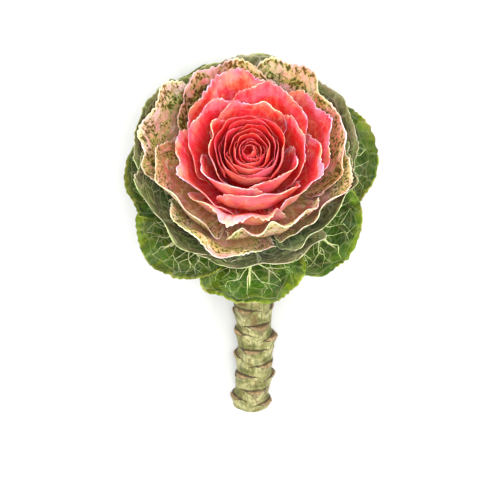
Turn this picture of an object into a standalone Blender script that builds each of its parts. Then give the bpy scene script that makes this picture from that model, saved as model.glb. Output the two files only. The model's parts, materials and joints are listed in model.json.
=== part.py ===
"""Ornamental kale, one cut stem lying down.

The straight part of the stem lies along Y with its cut end at +Y. The neck bends up
towards -Y, and the head leans on its lower collar leaves. Metres, +Z up. The origin
is on the table, in the middle of the whole stem's box.

Every leaf is one curved sheet with a thickness, described by two parameters: s runs
across the leaf from edge to edge, and t from its root to its edge, so that lines of
constant s fan out as the veins do. The leaves of one colour are fused to their own
length of the head's core.
"""

import math
import random
from dataclasses import dataclass

import bmesh
import bpy
from mathutils import Matrix, Vector

TAU = 2.0 * math.pi
GOLDEN_ANGLE = math.radians(137.508)
MM = 0.001

# The head: its base lies on the axis, which rises towards -Y
HEAD_BASE = Vector((-0.0004, -0.0472, 0.0425))
HEAD_TILT = math.radians(47.0)
CORE_SIDES = 16

# The stem
STEM_TOP = -10.3 * MM
STEM_RADIUS = 11.3 * MM
NECK_RADIUS = 10.6 * MM
NECK_LENGTH = 30 * MM
BEND_START = 3 * MM
BEND_RADIUS = 42 * MM
STRAIGHT_LENGTH = 146 * MM
END_SLOPE = math.radians(2.0)
SIDE_SWAY = 3.0 * MM
STEM_SIDES = 24
STEM_RINGS = 56
SCAR_PITCH = 4.1 * MM
SCAR_RISE = 5.1 * MM
SCAR_HALF_WIDTH = 7.0 * MM
SCAR_STEP = 1.5 * MM          # over which a scar steps in, on the side of the head
SCAR_RUN = 6.4 * MM           # over which the stalk swells up to it from below
SCAR_FALL = 1.4               # how fast its rise dies away to its sides
SCAR_REACH = 1.6              # half widths past which a scar has no effect
SCAR_SHIFT = 0.8 * MM
SCAR_SIZE = (0.75, 1.1)
SCARS_NEAR = 7                # scars to either side that can reach a point

# Leaves
EDGE_HALF_THICKNESS = 0.38
FLOOR_BLEND = 1.5 * MM
NORMAL_STEP = 0.01            # in s and t, for the slope of a leaf's surface
MARGIN_CROWDING = 0.85        # rows lie closer together towards the leaf's edge
SHARP_ANGLE = math.radians(40.0)

# Outline of a leaf: how far round its edge swings as a share of half a turn, half its
# width at the root, and how high along it the edge is widest
CUPPED_OUTLINE = (0.58, 0.34, 0.55)
COLLAR_OUTLINE = (0.54, 0.30, 0.62)
LIP_START = 0.72              # how high up the leaf its rim starts to turn out

# The leaves on the head's upper side close over its heart: how far at most, how far off
# the head's axis that starts and is full, where it fades out again and how much of it
# does, and the heights between which it grows, in millimetres
CLOSING = 6.0
CLOSING_RISE = (12.0, 40.0)
CLOSING_FADE = (47.0, 60.0)
CLOSING_FADE_SHARE = 0.85
CLOSING_HEIGHTS = (38.0, 76.0)

# Scatter among the leaves of the head: degrees, shares and millimetres
BEARING_SCATTER = 3.0
CUPPED_WIDTHS = (0.94, 1.05)
CUPPED_RISE_SCATTER = 1.5
CUPPED_LEAN = 0.05
CUPPED_WAVES = (2.2, 3.4)
NARROWING = 0.8               # how soon the leaves narrow from the heart out


@dataclass
class Ring:
    """The leaves of one colour: each pair runs from the innermost to the outermost."""

    name: str
    colour: tuple
    count: int
    whorl: int             # leaves that stand at one height, or 0 for a spiral
    first: float           # azimuth of the first leaf, in degrees
    core: tuple            # outline of this length of the core, as (radius, height)
    root_radius: tuple
    root_height: tuple
    rim_radius: tuple
    rim_height: tuple
    half_angle: tuple      # half the sector that a leaf spans, in degrees
    openness: tuple        # 0 rises straight from the root, 1 opens like a bowl
    bulge: tuple           # how far the leaf swells before its rim turns in
    lip: tuple             # how far the rim turns out
    wave: tuple            # height of the waves along the edge
    spread: tuple          # how much wider the head opens towards +X, as a share
    side_turn: float       # how far the leaf's two sides turn out
    teeth: int
    rows: int
    tooth: float
    root_thickness: float  # half the thickness at the root


RINGS = [
    Ring("heart_leaves", (0.74, 0.10, 0.13), 12, 0, 150,
         ((6.6, 24.15), (12.8, 35.0), (18.2, 46.0), (17.0, 52.5), (12.5, 58.5), (6.0, 62.0)),
         (1.4, 17.0), (60.0, 48.5), (2.8, 21.0), (73.5, 80.0), (112, 72), (0.0, 0.15),
         (2.5, 1.5), (0.0, 0.6), (0.1, 0.4), (0.0, 0.0), 0.2, 8, 4, 0.9, 0.45),
    Ring("rose_leaves", (0.86, 0.30, 0.27), 13, 0, 0,
         ((10.0, 12.15), (9.0, 23.85)),
         (7.0, 6.5), (22.4, 13.4), (24.5, 50.0), (81.5, 75.5), (68, 48), (0.75, 1.0),
         (1.0, 0.0), (1.0, 5.0), (0.6, 1.4), (0.0, 0.05), 0.8, 8, 4, 1.4, 0.60),
    Ring("mottled_leaves", (0.80, 0.66, 0.48), 8, 4, 20,
         ((10.5, 4.15), (10.0, 11.85)),
         (8.0, 8.0), (10.2, 6.0), (56.0, 61.5), (72.5, 66.0), (44, 43), (1.0, 1.0),
         (0.0, 0.0), (5.0, 6.5), (1.1, 1.6), (0.07, 0.09), 0.6, 9, 4, 1.5, 0.60),
    Ring("cup_leaves", (0.30, 0.38, 0.25), 6, 3, 35,
         ((10.8, -1.85), (10.5, 3.85)),
         (8.0, 8.0), (2.4, -1.0), (64.8, 67.2), (61.5, 54.0), (50, 47), (1.0, 1.0),
         (0.0, 0.0), (4.5, 4.5), (0.8, 1.2), (0.09, 0.09), 0.6, 10, 4, 1.2, 0.65),
]

# Collar leaves: spread flat behind the head, each with one side tucked below the next
COLLAR_NAME = "collar_leaves"
COLLAR_COLOUR = (0.13, 0.30, 0.07)
COLLAR_COUNT = 7
COLLAR_CORE = ((11.2, -10.0), (10.8, -2.15))
COLLAR_ROOT = (8.5, -6.0)
COLLAR_REACH = 84.0
COLLAR_REACHES = (0.92, 1.0)
COLLAR_HALF_ANGLE = 34.0
COLLAR_WIDTHS = (0.96, 1.04)
COLLAR_RISE = 20.0
COLLAR_RISE_SCATTER = 1.0
COLLAR_RISE_POWER = 1.3
COLLAR_LEAN = 0.04
COLLAR_CURL = 7.0
COLLAR_TUCK = 6.0
COLLAR_WAVE = 2.2
COLLAR_WAVES = (2.6, 3.6)
COLLAR_TEETH = 10
COLLAR_ROWS = 5
COLLAR_TOOTH = 1.8
COLLAR_ROOT_THICKNESS = 0.8
PETIOLE_WIDTH = 0.35          # at the root, as a share of the blade's width
PETIOLE_LENGTH = 0.55         # as a share of the leaf's length


@dataclass
class Leaf:
    """One leaf. Lengths are in millimetres in the head's own frame."""

    azimuth: float
    half_angle: float
    root_radius: float
    root_height: float
    rim_radius: float
    rim_height: float
    openness: float
    bulge: float
    lip: float
    lean: float            # raises one side of the leaf's edge above the other
    wave: float
    wave_count: float
    wave_phase: float
    side_turn: float
    teeth: int
    rows: int
    tooth: float
    root_thickness: float
    collar: bool = False


def mix(pair, share):
    """Return the value a given share of the way from a pair's first to its last."""
    return pair[0] + (pair[1] - pair[0]) * share


def smooth(pair, value):
    """Return a smooth step from 0 at a pair's first to 1 at its last."""
    x = max(0.0, min(1.0, (value - pair[0]) / (pair[1] - pair[0])))
    return x * x * (3.0 - 2.0 * x)


def head_matrix():
    """Return the placement of the head's frame, whose +Z is the head's axis."""
    axis = Vector((0.0, -math.cos(HEAD_TILT), math.sin(HEAD_TILT)))
    side = Vector((1.0, 0.0, 0.0))
    up = axis.cross(side)
    turn = Matrix((side, up, axis)).transposed().to_4x4()
    return Matrix.Translation(HEAD_BASE) @ turn


HEAD = head_matrix()


def settle(point, height):
    """Lay a point that would sink below a height over the table on that height."""
    over = point.z - height
    if over < -FLOOR_BLEND:
        point.z = height
    elif over < FLOOR_BLEND:
        point.z = height + (over + FLOOR_BLEND) ** 2 / (4.0 * FLOOR_BLEND)
    return point


def close_over(point):
    """Lean a point of the head's upper side over the heart. Head's frame, millimetres."""
    near = smooth(CLOSING_RISE, point.y) - CLOSING_FADE_SHARE * smooth(CLOSING_FADE, point.y)
    point.y -= CLOSING * near * smooth(CLOSING_HEIGHTS, point.z)
    return point


def ring_leaves(ring):
    """Return the leaves of one ring, from the innermost out."""
    leaves = []
    for k in range(ring.count):
        draw = random.Random(f"{ring.name} {k}")
        if ring.whorl:
            tier, place = divmod(k, ring.whorl)
            azimuth = (place + 0.5 * tier) * TAU / ring.whorl
            share = tier / (ring.count / ring.whorl - 1)
        else:
            azimuth = k * GOLDEN_ANGLE
            share = k / (ring.count - 1)
        azimuth += math.radians(ring.first + draw.uniform(-BEARING_SCATTER, BEARING_SCATTER))
        width = mix(ring.half_angle, share ** NARROWING) * draw.uniform(*CUPPED_WIDTHS)
        spread = 1.0 + mix(ring.spread, share) * max(0.0, math.cos(azimuth))
        rise = draw.uniform(-CUPPED_RISE_SCATTER, CUPPED_RISE_SCATTER)
        leaves.append(Leaf(
            azimuth=azimuth,
            half_angle=math.radians(width),
            root_radius=mix(ring.root_radius, share),
            root_height=mix(ring.root_height, share),
            rim_radius=mix(ring.rim_radius, share) * spread,
            rim_height=mix(ring.rim_height, share) + rise,
            openness=mix(ring.openness, share),
            bulge=mix(ring.bulge, share),
            lip=mix(ring.lip, share),
            lean=draw.uniform(-CUPPED_LEAN, CUPPED_LEAN),
            wave=mix(ring.wave, share),
            wave_count=draw.uniform(*CUPPED_WAVES),
            wave_phase=draw.uniform(0, TAU),
            side_turn=ring.side_turn,
            teeth=ring.teeth,
            rows=ring.rows,
            tooth=ring.tooth,
            root_thickness=ring.root_thickness,
        ))
    return leaves


def collar_leaves():
    """Return the collar leaves. Two of them straddle the side next to the table."""
    leaves = []
    for k in range(COLLAR_COUNT):
        draw = random.Random(f"collar {k}")
        azimuth = -TAU / 4 + (k + 0.5) * TAU / COLLAR_COUNT
        scatter = draw.uniform(-BEARING_SCATTER, BEARING_SCATTER)
        half_angle = math.radians(COLLAR_HALF_ANGLE * draw.uniform(*COLLAR_WIDTHS))
        reach = COLLAR_REACH * draw.uniform(*COLLAR_REACHES)
        rise = COLLAR_RISE + draw.uniform(-COLLAR_RISE_SCATTER, COLLAR_RISE_SCATTER)
        leaves.append(Leaf(
            azimuth=azimuth + math.radians(scatter),
            half_angle=half_angle,
            root_radius=COLLAR_ROOT[0],
            root_height=COLLAR_ROOT[1],
            rim_radius=reach,
            rim_height=COLLAR_ROOT[1] + rise,
            openness=1.0,
            bulge=0.0,
            lip=0.0,
            lean=draw.uniform(-COLLAR_LEAN, COLLAR_LEAN),
            wave=COLLAR_WAVE,
            wave_count=draw.uniform(*COLLAR_WAVES),
            wave_phase=draw.uniform(0, TAU),
            side_turn=0.0,
            teeth=COLLAR_TEETH,
            rows=COLLAR_ROWS,
            tooth=COLLAR_TOOTH,
            root_thickness=COLLAR_ROOT_THICKNESS,
            collar=True,
        ))
    return leaves


def outline(leaf, s):
    """Return the leaf's root and edge points at s, as (across, along) in 0 to 1."""
    swing, root_width, widest = COLLAR_OUTLINE if leaf.collar else CUPPED_OUTLINE
    angle = swing * math.pi * s
    edge = (math.sin(angle), widest + (1.0 - widest) * math.cos(angle))
    return (root_width * s, 0.0), edge


def leaf_point(leaf, s, t, out=0.0):
    """Return the point of the leaf's middle surface at s and t, in the world.

    The edge is moved outwards by out, in millimetres, for the teeth.
    """
    root, edge = outline(leaf, s)
    size = leaf.rim_radius if leaf.collar else leaf.rim_height - leaf.root_height
    reach = t * (1.0 + out / size)
    x = root[0] + (edge[0] - root[0]) * reach
    y = root[1] + (edge[1] - root[1]) * reach
    y += leaf.lean * x * t
    if leaf.collar:
        opening = math.sin(0.5 * math.pi * min(1.0, max(0.0, y) / PETIOLE_LENGTH))
        x *= mix((PETIOLE_WIDTH, 1.0), opening)
    ripple = leaf.wave * t ** 3 * (1.0 - s ** 4)
    ripple *= math.sin(TAU * leaf.wave_count * s + leaf.wave_phase)
    if leaf.collar:
        radius = leaf.root_radius + (leaf.rim_radius - leaf.root_radius) * y
        lift = y ** COLLAR_RISE_POWER
        height = (leaf.root_height + (leaf.rim_height - leaf.root_height) * lift
                  - COLLAR_CURL * y ** 4 + COLLAR_TUCK * x * y + ripple)
    else:
        turn = 0.5 * math.pi * y
        opening = math.sin(turn)
        belly = leaf.rim_radius - leaf.lip + leaf.bulge
        flare = max(0.0, (y - LIP_START) / (1.0 - LIP_START)) ** 2
        radius = (leaf.root_radius + (belly - leaf.root_radius) * opening
                  - leaf.bulge * max(0.0, y) ** 3 + leaf.lip * flare + ripple
                  + leaf.side_turn * t ** 4 * x * x)
        lift = mix((y, 1.0 - math.cos(turn)), leaf.openness)
        height = leaf.root_height + (leaf.rim_height - leaf.root_height) * lift
    azimuth = leaf.azimuth + leaf.half_angle * x
    local = close_over(Vector((radius * math.cos(azimuth), radius * math.sin(azimuth), height)))
    return settle(HEAD @ (local * MM), half_thickness(leaf, t))


def half_thickness(leaf, t):
    """Return half the leaf's thickness, from its root to its edge."""
    return mix((leaf.root_thickness, EDGE_HALF_THICKNESS), t) * MM


def leaf_normal(leaf, s, t):
    """Return the upward normal of the leaf's middle surface."""
    step = NORMAL_STEP
    s = max(2 * step - 1.0, min(1.0 - 2 * step, s))
    t = max(2 * step, t)
    across = leaf_point(leaf, s + step, t) - leaf_point(leaf, s - step, t)
    along = leaf_point(leaf, s, t + step) - leaf_point(leaf, s, t - step)
    return across.cross(along).normalized()


def leaf_object(leaf, name, collection):
    """Make one leaf as a closed sheet, split into triangles alike on both faces."""
    mesh = bmesh.new()
    columns = leaf.teeth
    rows = []
    for row in range(leaf.rows + 1):
        last = row == leaf.rows
        t = 0.0 if row == 0 else (row / leaf.rows) ** MARGIN_CROWDING
        steps = 2 * columns if last else columns
        faces = ([], [])
        for k in range(steps + 1):
            s = 2.0 * k / steps - 1.0
            out = 0.5 * leaf.tooth * (1 if k % 2 else -1) if last and 0 < k < steps else 0.0
            middle = leaf_point(leaf, s, t, out)
            offset = leaf_normal(leaf, s, t) * half_thickness(leaf, t)
            faces[0].append(mesh.verts.new(middle + offset))
            faces[1].append(mesh.verts.new(middle - offset))
        rows.append(faces)

    def both(side, a, b, c):
        mesh.faces.new((a, b, c) if side == 0 else (c, b, a))

    for side in (0, 1):
        for row in range(leaf.rows - 1):
            low, high = rows[row][side], rows[row + 1][side]
            for k in range(columns):
                if (k + row) % 2:
                    both(side, low[k], low[k + 1], high[k + 1])
                    both(side, low[k], high[k + 1], high[k])
                else:
                    both(side, low[k], low[k + 1], high[k])
                    both(side, low[k + 1], high[k + 1], high[k])
        low, high = rows[-2][side], rows[-1][side]
        for k in range(columns):
            both(side, low[k], high[2 * k + 1], high[2 * k])
            both(side, low[k], low[k + 1], high[2 * k + 1])
            both(side, low[k + 1], high[2 * k + 2], high[2 * k + 1])

    border = [[], []]
    for side in (0, 1):
        bottom = rows[0][side]
        right = [rows[r][side][-1] for r in range(1, leaf.rows)]
        top = rows[-1][side][::-1]
        left = [rows[r][side][0] for r in range(leaf.rows - 1, 0, -1)]
        border[side] = bottom + right + top + left
    total = len(border[0])
    for k in range(total):
        n = (k + 1) % total
        mesh.faces.new((border[1][k], border[1][n], border[0][n]))
        mesh.faces.new((border[1][k], border[0][n], border[0][k]))
    return finish_mesh(mesh, name, collection)


def finish_mesh(mesh, name, collection):
    """Turn a bmesh into a smooth object in a collection, with its faces outwards."""
    bmesh.ops.recalc_face_normals(mesh, faces=mesh.faces)
    data = bpy.data.meshes.new(name)
    mesh.to_mesh(data)
    mesh.free()
    data.shade_smooth()
    data.set_sharp_from_angle(angle=SHARP_ANGLE)
    obj = bpy.data.objects.new(name, data)
    collection.objects.link(obj)
    return obj


def core_object(name, outline_points, collection):
    """Make one length of the head's core, a turned solid on the head's axis."""
    top, bottom = outline_points[-1][1], outline_points[0][1]
    points = [(0.0, bottom), *outline_points, (0.0, top)]
    mesh = bmesh.new()
    line = [mesh.verts.new((r * MM, 0.0, w * MM)) for r, w in reversed(points)]
    for first, second in zip(line, line[1:]):
        mesh.edges.new((first, second))
    data = bpy.data.meshes.new(name)
    mesh.to_mesh(data)
    mesh.free()
    body = bpy.data.objects.new(name, data)
    collection.objects.link(body)
    turn = body.modifiers.new("turned", "SCREW")
    turn.steps = turn.render_steps = CORE_SIDES
    turn.use_merge_vertices = True
    turn.merge_threshold = 0.00005
    body.matrix_world = HEAD
    return body


def fuse(body, collection):
    """Join every object of a collection to a body, and remove the collection."""
    union = body.modifiers.new("leaves", "BOOLEAN")
    union.operation = "UNION"
    union.operand_type = "COLLECTION"
    union.collection = collection
    union.solver = "EXACT"
    graph = bpy.context.evaluated_depsgraph_get()
    joined = bpy.data.meshes.new_from_object(body.evaluated_get(graph))
    joined.transform(body.matrix_world)
    body.modifiers.clear()
    body.data = joined
    body.matrix_world = Matrix.Identity(4)
    for obj in list(collection.objects):
        bpy.data.objects.remove(obj, do_unlink=True)
    bpy.data.collections.remove(collection)


def make_ring(name, colour, core, leaves, home):
    """Make the node of one colour: its length of the core with its leaves."""
    parts = bpy.data.collections.new(name + "_parts")
    bpy.context.scene.collection.children.link(parts)
    body = core_object(name, core, home)
    for k, leaf in enumerate(leaves):
        leaf_object(leaf, f"{name}_{k}", parts)
    fuse(body, parts)
    paint(body, colour, 0.55)


def stem_line(length):
    """Return the stem's centre and direction a given length below the head."""
    slope = HEAD_TILT
    place = HEAD @ Vector((0.0, 0.0, STEM_TOP))
    turn_length = (HEAD_TILT - END_SLOPE) * BEND_RADIUS
    first = min(length, BEND_START)
    place = place + Vector((0.0, math.cos(slope), -math.sin(slope))) * first
    bent = max(0.0, min(length - BEND_START, turn_length))
    slope = HEAD_TILT - bent / BEND_RADIUS
    place = place + Vector((
        0.0,
        BEND_RADIUS * (math.sin(HEAD_TILT) - math.sin(slope)),
        -BEND_RADIUS * (math.cos(slope) - math.cos(HEAD_TILT)),
    ))
    rest = max(0.0, length - BEND_START - turn_length)
    direction = Vector((0.0, math.cos(slope), -math.sin(slope)))
    place = place + direction * rest
    total = BEND_START + turn_length + STRAIGHT_LENGTH
    place.x += SIDE_SWAY * math.sin(TAU * length / total)
    return place, direction


def scar_relief(around, length):
    """Return how far the leaf scars raise the stem's surface at a point.

    Each scar is a ledge: the stalk swells up to it from below and steps in above it.
    """
    rise = 0.0
    number = round(length / SCAR_PITCH)
    for k in range(max(1, number - SCARS_NEAR), number + SCARS_NEAR):
        draw = random.Random(f"scar {k}")
        down = length - k * SCAR_PITCH + draw.uniform(-SCAR_SHIFT, SCAR_SHIFT)
        turn = (around - k * GOLDEN_ANGLE + math.pi) % TAU - math.pi
        across = turn * STEM_RADIUS / SCAR_HALF_WIDTH
        if abs(across) > SCAR_REACH:
            continue
        along = math.exp(-down / SCAR_RUN) if down > 0 else math.exp(-(down / SCAR_STEP) ** 2)
        size = draw.uniform(*SCAR_SIZE)
        rise = max(rise, SCAR_RISE * size * along * math.exp(-SCAR_FALL * across ** 2))
    return rise


def make_stem(home):
    """Make the stem: a tube along its line, with the relief of its leaf scars."""
    mesh = bmesh.new()
    turn_length = (HEAD_TILT - END_SLOPE) * BEND_RADIUS
    total = BEND_START + turn_length + STRAIGHT_LENGTH
    rings = []
    for row in range(STEM_RINGS + 1):
        length = total * row / STEM_RINGS
        place, direction = stem_line(length)
        side = Vector((1.0, 0.0, 0.0))
        up = side.cross(direction).normalized()
        radius = mix((NECK_RADIUS, STEM_RADIUS), min(1.0, length / NECK_LENGTH))
        ring = []
        for k in range(STEM_SIDES):
            around = TAU * (k + 0.5 * (row % 2)) / STEM_SIDES
            out = radius + scar_relief(around, length)
            point = place + (side * math.cos(around) + up * math.sin(around)) * out
            point.z = max(0.0, point.z)
            ring.append(mesh.verts.new(point))
        rings.append(ring)
    for row in range(STEM_RINGS):
        low, high = rings[row], rings[row + 1]
        for k in range(STEM_SIDES):
            n = (k + 1) % STEM_SIDES
            if row % 2:
                mesh.faces.new((low[k], high[n], low[n]))
                mesh.faces.new((low[k], high[k], high[n]))
            else:
                mesh.faces.new((low[k], high[k], low[n]))
                mesh.faces.new((low[n], high[k], high[n]))
    for ring in (rings[0], rings[-1]):
        mesh.faces.new(ring)
    stem = finish_mesh(mesh, "stem", home)
    paint(stem, (0.62, 0.66, 0.36), 0.6)


def paint(obj, colour, roughness):
    """Give an object its own material."""
    material = bpy.data.materials.new(obj.name)
    material.use_nodes = True
    shader = material.node_tree.nodes["Principled BSDF"]
    shader.inputs["Base Color"].default_value = (*colour, 1.0)
    shader.inputs["Roughness"].default_value = roughness
    shader.inputs["Metallic"].default_value = 0.0
    obj.data.materials.clear()
    obj.data.materials.append(material)


def main():
    """Build the kale stem in an empty scene."""
    for obj in list(bpy.data.objects):
        bpy.data.objects.remove(obj, do_unlink=True)
    home = bpy.data.collections.new("ornamental_kale_stem")
    bpy.context.scene.collection.children.link(home)
    make_stem(home)
    for ring in RINGS:
        make_ring(ring.name, ring.colour, ring.core, ring_leaves(ring), home)
    make_ring(COLLAR_NAME, COLLAR_COLOUR, COLLAR_CORE, collar_leaves(), home)


main()
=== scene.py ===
"""Ornamental kale stem: the finished look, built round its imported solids.

Each leaf is a closed sheet over two parameters. s runs across it from -1 to 1 and t
from its root to its margin, so that a line of constant s fans out as a vein does.
Lengths in the head's own frame are in millimetres, and finished meshes are in metres.
"""

import json
import logging
import math
import random
from dataclasses import dataclass, field
from enum import Enum

import bpy
import numpy as np
from mathutils import Matrix, Vector

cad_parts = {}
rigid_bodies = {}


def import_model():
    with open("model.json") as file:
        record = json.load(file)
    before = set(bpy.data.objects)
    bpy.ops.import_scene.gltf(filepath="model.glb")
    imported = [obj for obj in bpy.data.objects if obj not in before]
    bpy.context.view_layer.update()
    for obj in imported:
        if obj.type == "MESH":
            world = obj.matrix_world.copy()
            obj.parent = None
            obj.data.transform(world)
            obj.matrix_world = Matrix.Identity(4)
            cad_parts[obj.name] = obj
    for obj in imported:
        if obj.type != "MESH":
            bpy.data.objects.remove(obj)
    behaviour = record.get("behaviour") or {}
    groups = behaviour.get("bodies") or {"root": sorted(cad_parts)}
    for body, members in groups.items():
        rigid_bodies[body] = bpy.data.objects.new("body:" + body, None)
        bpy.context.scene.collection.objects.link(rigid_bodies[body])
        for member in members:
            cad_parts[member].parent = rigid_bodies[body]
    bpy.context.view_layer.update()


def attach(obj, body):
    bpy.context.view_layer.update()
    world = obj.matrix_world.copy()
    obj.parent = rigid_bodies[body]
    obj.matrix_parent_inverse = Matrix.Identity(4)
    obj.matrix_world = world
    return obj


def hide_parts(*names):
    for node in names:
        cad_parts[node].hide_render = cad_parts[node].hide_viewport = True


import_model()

log = logging.getLogger("ornamental_kale_stem")

Array = np.ndarray
Colour = Place = tuple[float, float, float]
Pair = tuple[float, float]
Values = dict[str, Array]
Faces = list[tuple[int, ...]]
Object, Material = bpy.types.Object, bpy.types.Material
Node, Socket, Tree = bpy.types.Node, bpy.types.NodeSocket, bpy.types.NodeTree
Sockets = bpy.types.bpy_prop_collection

TAU = 2.0 * math.pi
MM = 0.001
GOLDEN_ANGLE = math.radians(137.508)
BODY = "root"

# The head's base lies on its axis, which rises towards -Y
HEAD_BASE = np.array((-0.0004, -0.0472, 0.0425))
HEAD_TILT = math.radians(47.0)
HEAD_SIDE = np.array((1.0, 0.0, 0.0))
HEAD_UP = np.array((0.0, math.sin(HEAD_TILT), math.cos(HEAD_TILT)))
HEAD_AXIS = np.array((0.0, -math.cos(HEAD_TILT), math.sin(HEAD_TILT)))
FLOOR_BLEND = 1.5 * MM

# The leaves on the head's upper side close over its heart, in millimetres
CLOSING = 9.0
CLOSING_RISE = (12.0, 40.0)
CLOSING_FADE = (47.0, 60.0)
CLOSING_FADE_SHARE = 0.85
CLOSING_HEIGHTS = (38.0, 76.0)

# What scatters the lattice values of the noise
SCATTER_X, SCATTER_Y, SCATTER_SEED, SCATTER_SIZE = 127.1, 311.7, 74.7, 43758.5453

# How far a leaf's patterns shift for each unit of its seed, in mm
SEED_STEP = 17.0
# Veins lighter than this are drawn only as cords on the upper face
LIGHT_VEIN = 0.32


class Slot(Enum):
    """The record's material slots."""

    STALK = "stalk"
    HEART = "heart_leaf"
    ROSE = "rose_leaf"
    MOTTLED = "mottled_leaf"
    CUP = "cup_leaf"
    COLLAR = "collar_leaf"


class Layout(Enum):
    """How the leaves of a ring follow each other round the head."""

    SPIRAL = "spiral"
    WHORLS = "whorls"
    COLLAR = "collar"


class Venation(Enum):
    """How a leaf's main veins run."""

    FAN = "fan"
    PINNATE = "pinnate"


# Numbers and places


def lerp(first: float, last: float, share: float) -> float:
    """Return the value a given share of the way from first to last."""
    return first + (last - first) * share


def smooth(low: float, high: float, value: Array) -> Array:
    """Return a smooth step from 0 at low to 1 at high."""
    x = np.clip((value - low) / (high - low), 0.0, 1.0)
    return x * x * (3.0 - 2.0 * x)


def value_noise(x: Array, y: Array, seed: float) -> Array:
    """Return smooth noise from -1 to 1 over a lattice of unit cells.

    Args:
        x: First coordinate, in cells.
        y: Second coordinate, in cells.
        seed: Picks one of many patterns.

    Returns:
        The noise at each point.
    """
    x, y = np.broadcast_arrays(x, y)
    cell_x, cell_y = np.floor(x), np.floor(y)
    across, along = smooth(0.0, 1.0, x - cell_x), smooth(0.0, 1.0, y - cell_y)

    def corner(right: int, up: int) -> Array:
        """Return the lattice value at one corner of each point's cell.

        Args:
            right: 1 for the corners on the right, else 0.
            up: 1 for the upper corners, else 0.

        Returns:
            The values, from -1 to 1.
        """
        wave = np.sin((cell_x + right) * SCATTER_X + (cell_y + up) * SCATTER_Y
                      + seed * SCATTER_SEED) * SCATTER_SIZE
        return 2.0 * (wave - np.floor(wave)) - 1.0

    low = corner(0, 0) * (1 - across) + corner(1, 0) * across
    high = corner(0, 1) * (1 - across) + corner(1, 1) * across
    return low * (1 - along) + high * along


def to_world(local: Array) -> Array:
    """Return points of the head's frame, given in millimetres, in the world."""
    return HEAD_BASE + MM * (
        local[:, :1] * HEAD_SIDE + local[:, 1:2] * HEAD_UP + local[:, 2:] * HEAD_AXIS)


def close_over(local: Array) -> Array:
    """Lean points of the head's upper side over the heart, in the head's own frame.

    Args:
        local: Points of the head's frame, in millimetres.

    Returns:
        The moved points.
    """
    across = local[:, 1]
    near = smooth(*CLOSING_RISE, across) - CLOSING_FADE_SHARE * smooth(*CLOSING_FADE, across)
    moved = across - CLOSING * near * smooth(*CLOSING_HEIGHTS, local[:, 2])
    return np.column_stack((local[:, 0], moved, local[:, 2]))


def settle(points: Array, height: Array) -> Array:
    """Lay points that would sink below a height over the table on that height.

    Args:
        points: Points in the world.
        height: The lowest height of each, in metres.

    Returns:
        The points, eased onto that height.
    """
    over = points[:, 2] - height
    bend = height + (over + FLOOR_BLEND) ** 2 / (4.0 * FLOOR_BLEND)
    low = np.where(over < -FLOOR_BLEND, height, np.where(over < FLOOR_BLEND, bend, points[:, 2]))
    return np.column_stack((points[:, :2], low))


def above(points: Array, low: float = 0.0) -> Array:
    """Return points with none of them lower than a height over the table."""
    return np.column_stack((points[:, :2], np.maximum(points[:, 2], low)))


def unit(vectors: Array) -> Array:
    """Return vectors scaled to a length of one."""
    return vectors / np.maximum(np.linalg.norm(vectors, axis=1, keepdims=True), 1e-12)


# Meshes


def neighbours(sides: int, turned: bool) -> list[tuple[int, int]]:
    """Return each point of a ring with the one before it, or turned the other way."""
    pairs = [((k + 1) % sides, k) for k in range(sides)]
    return [pair[::-1] for pair in pairs] if turned else pairs


def tube(first: int, rings: int, sides: int, turned: bool = False) -> Faces:
    """Return the faces between rings of points that follow each other.

    Args:
        first: Number of the first ring's first point.
        rings: How many rings there are.
        sides: How many points each ring has.
        turned: Face the other way.

    Returns:
        The four corners of each face.
    """
    return [(low + a, low + b, low + sides + b, low + sides + a)
            for low in range(first, first + (rings - 1) * sides, sides)
            for a, b in neighbours(sides, turned)]


def cap(ring: int, sides: int, tip: int, turned: bool = False) -> Faces:
    """Return the faces between one ring of points and a tip."""
    return [(ring + a, ring + b, tip) for a, b in neighbours(sides, turned)]


def set_values(mesh: bpy.types.Mesh, values: Values) -> None:
    """Store point attributes on a mesh, as numbers or as vectors of three.

    Args:
        mesh: The mesh.
        values: The attributes by their names, with a row for each point.
    """
    for key, data in values.items():
        wide = data.ndim == 2
        layer = mesh.attributes.new(key, "FLOAT_VECTOR" if wide else "FLOAT", "POINT")
        layer.data.foreach_set("vector" if wide else "value", data.ravel())


def leaf_values(depth: Array, flat: Array, fan: Array, **same: float) -> Values:
    """Return the attributes that a leaf's finish reads.

    Args:
        depth: How far from the root to the margin each point lies.
        flat: Its place on the leaf laid flat, in millimetres.
        fan: Its place across and along the leaf, from 0 to 1, and the leaf's seed.
        **same: Attributes that have one value on all points.

    Returns:
        The attributes by their names.
    """
    values = {key: np.full(len(depth), value) for key, value in same.items()}
    return {"depth": depth, "flat": flat, "leaf_uv": fan, **values}


def add_object(name: str, data: bpy.types.ID) -> Object:
    """Add an object to the scene, at the origin.

    Args:
        name: Its name.
        data: Its mesh, lamp or camera.

    Returns:
        The new object.
    """
    obj = bpy.data.objects.new(name, data)
    bpy.context.scene.collection.objects.link(obj)
    return obj


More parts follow.
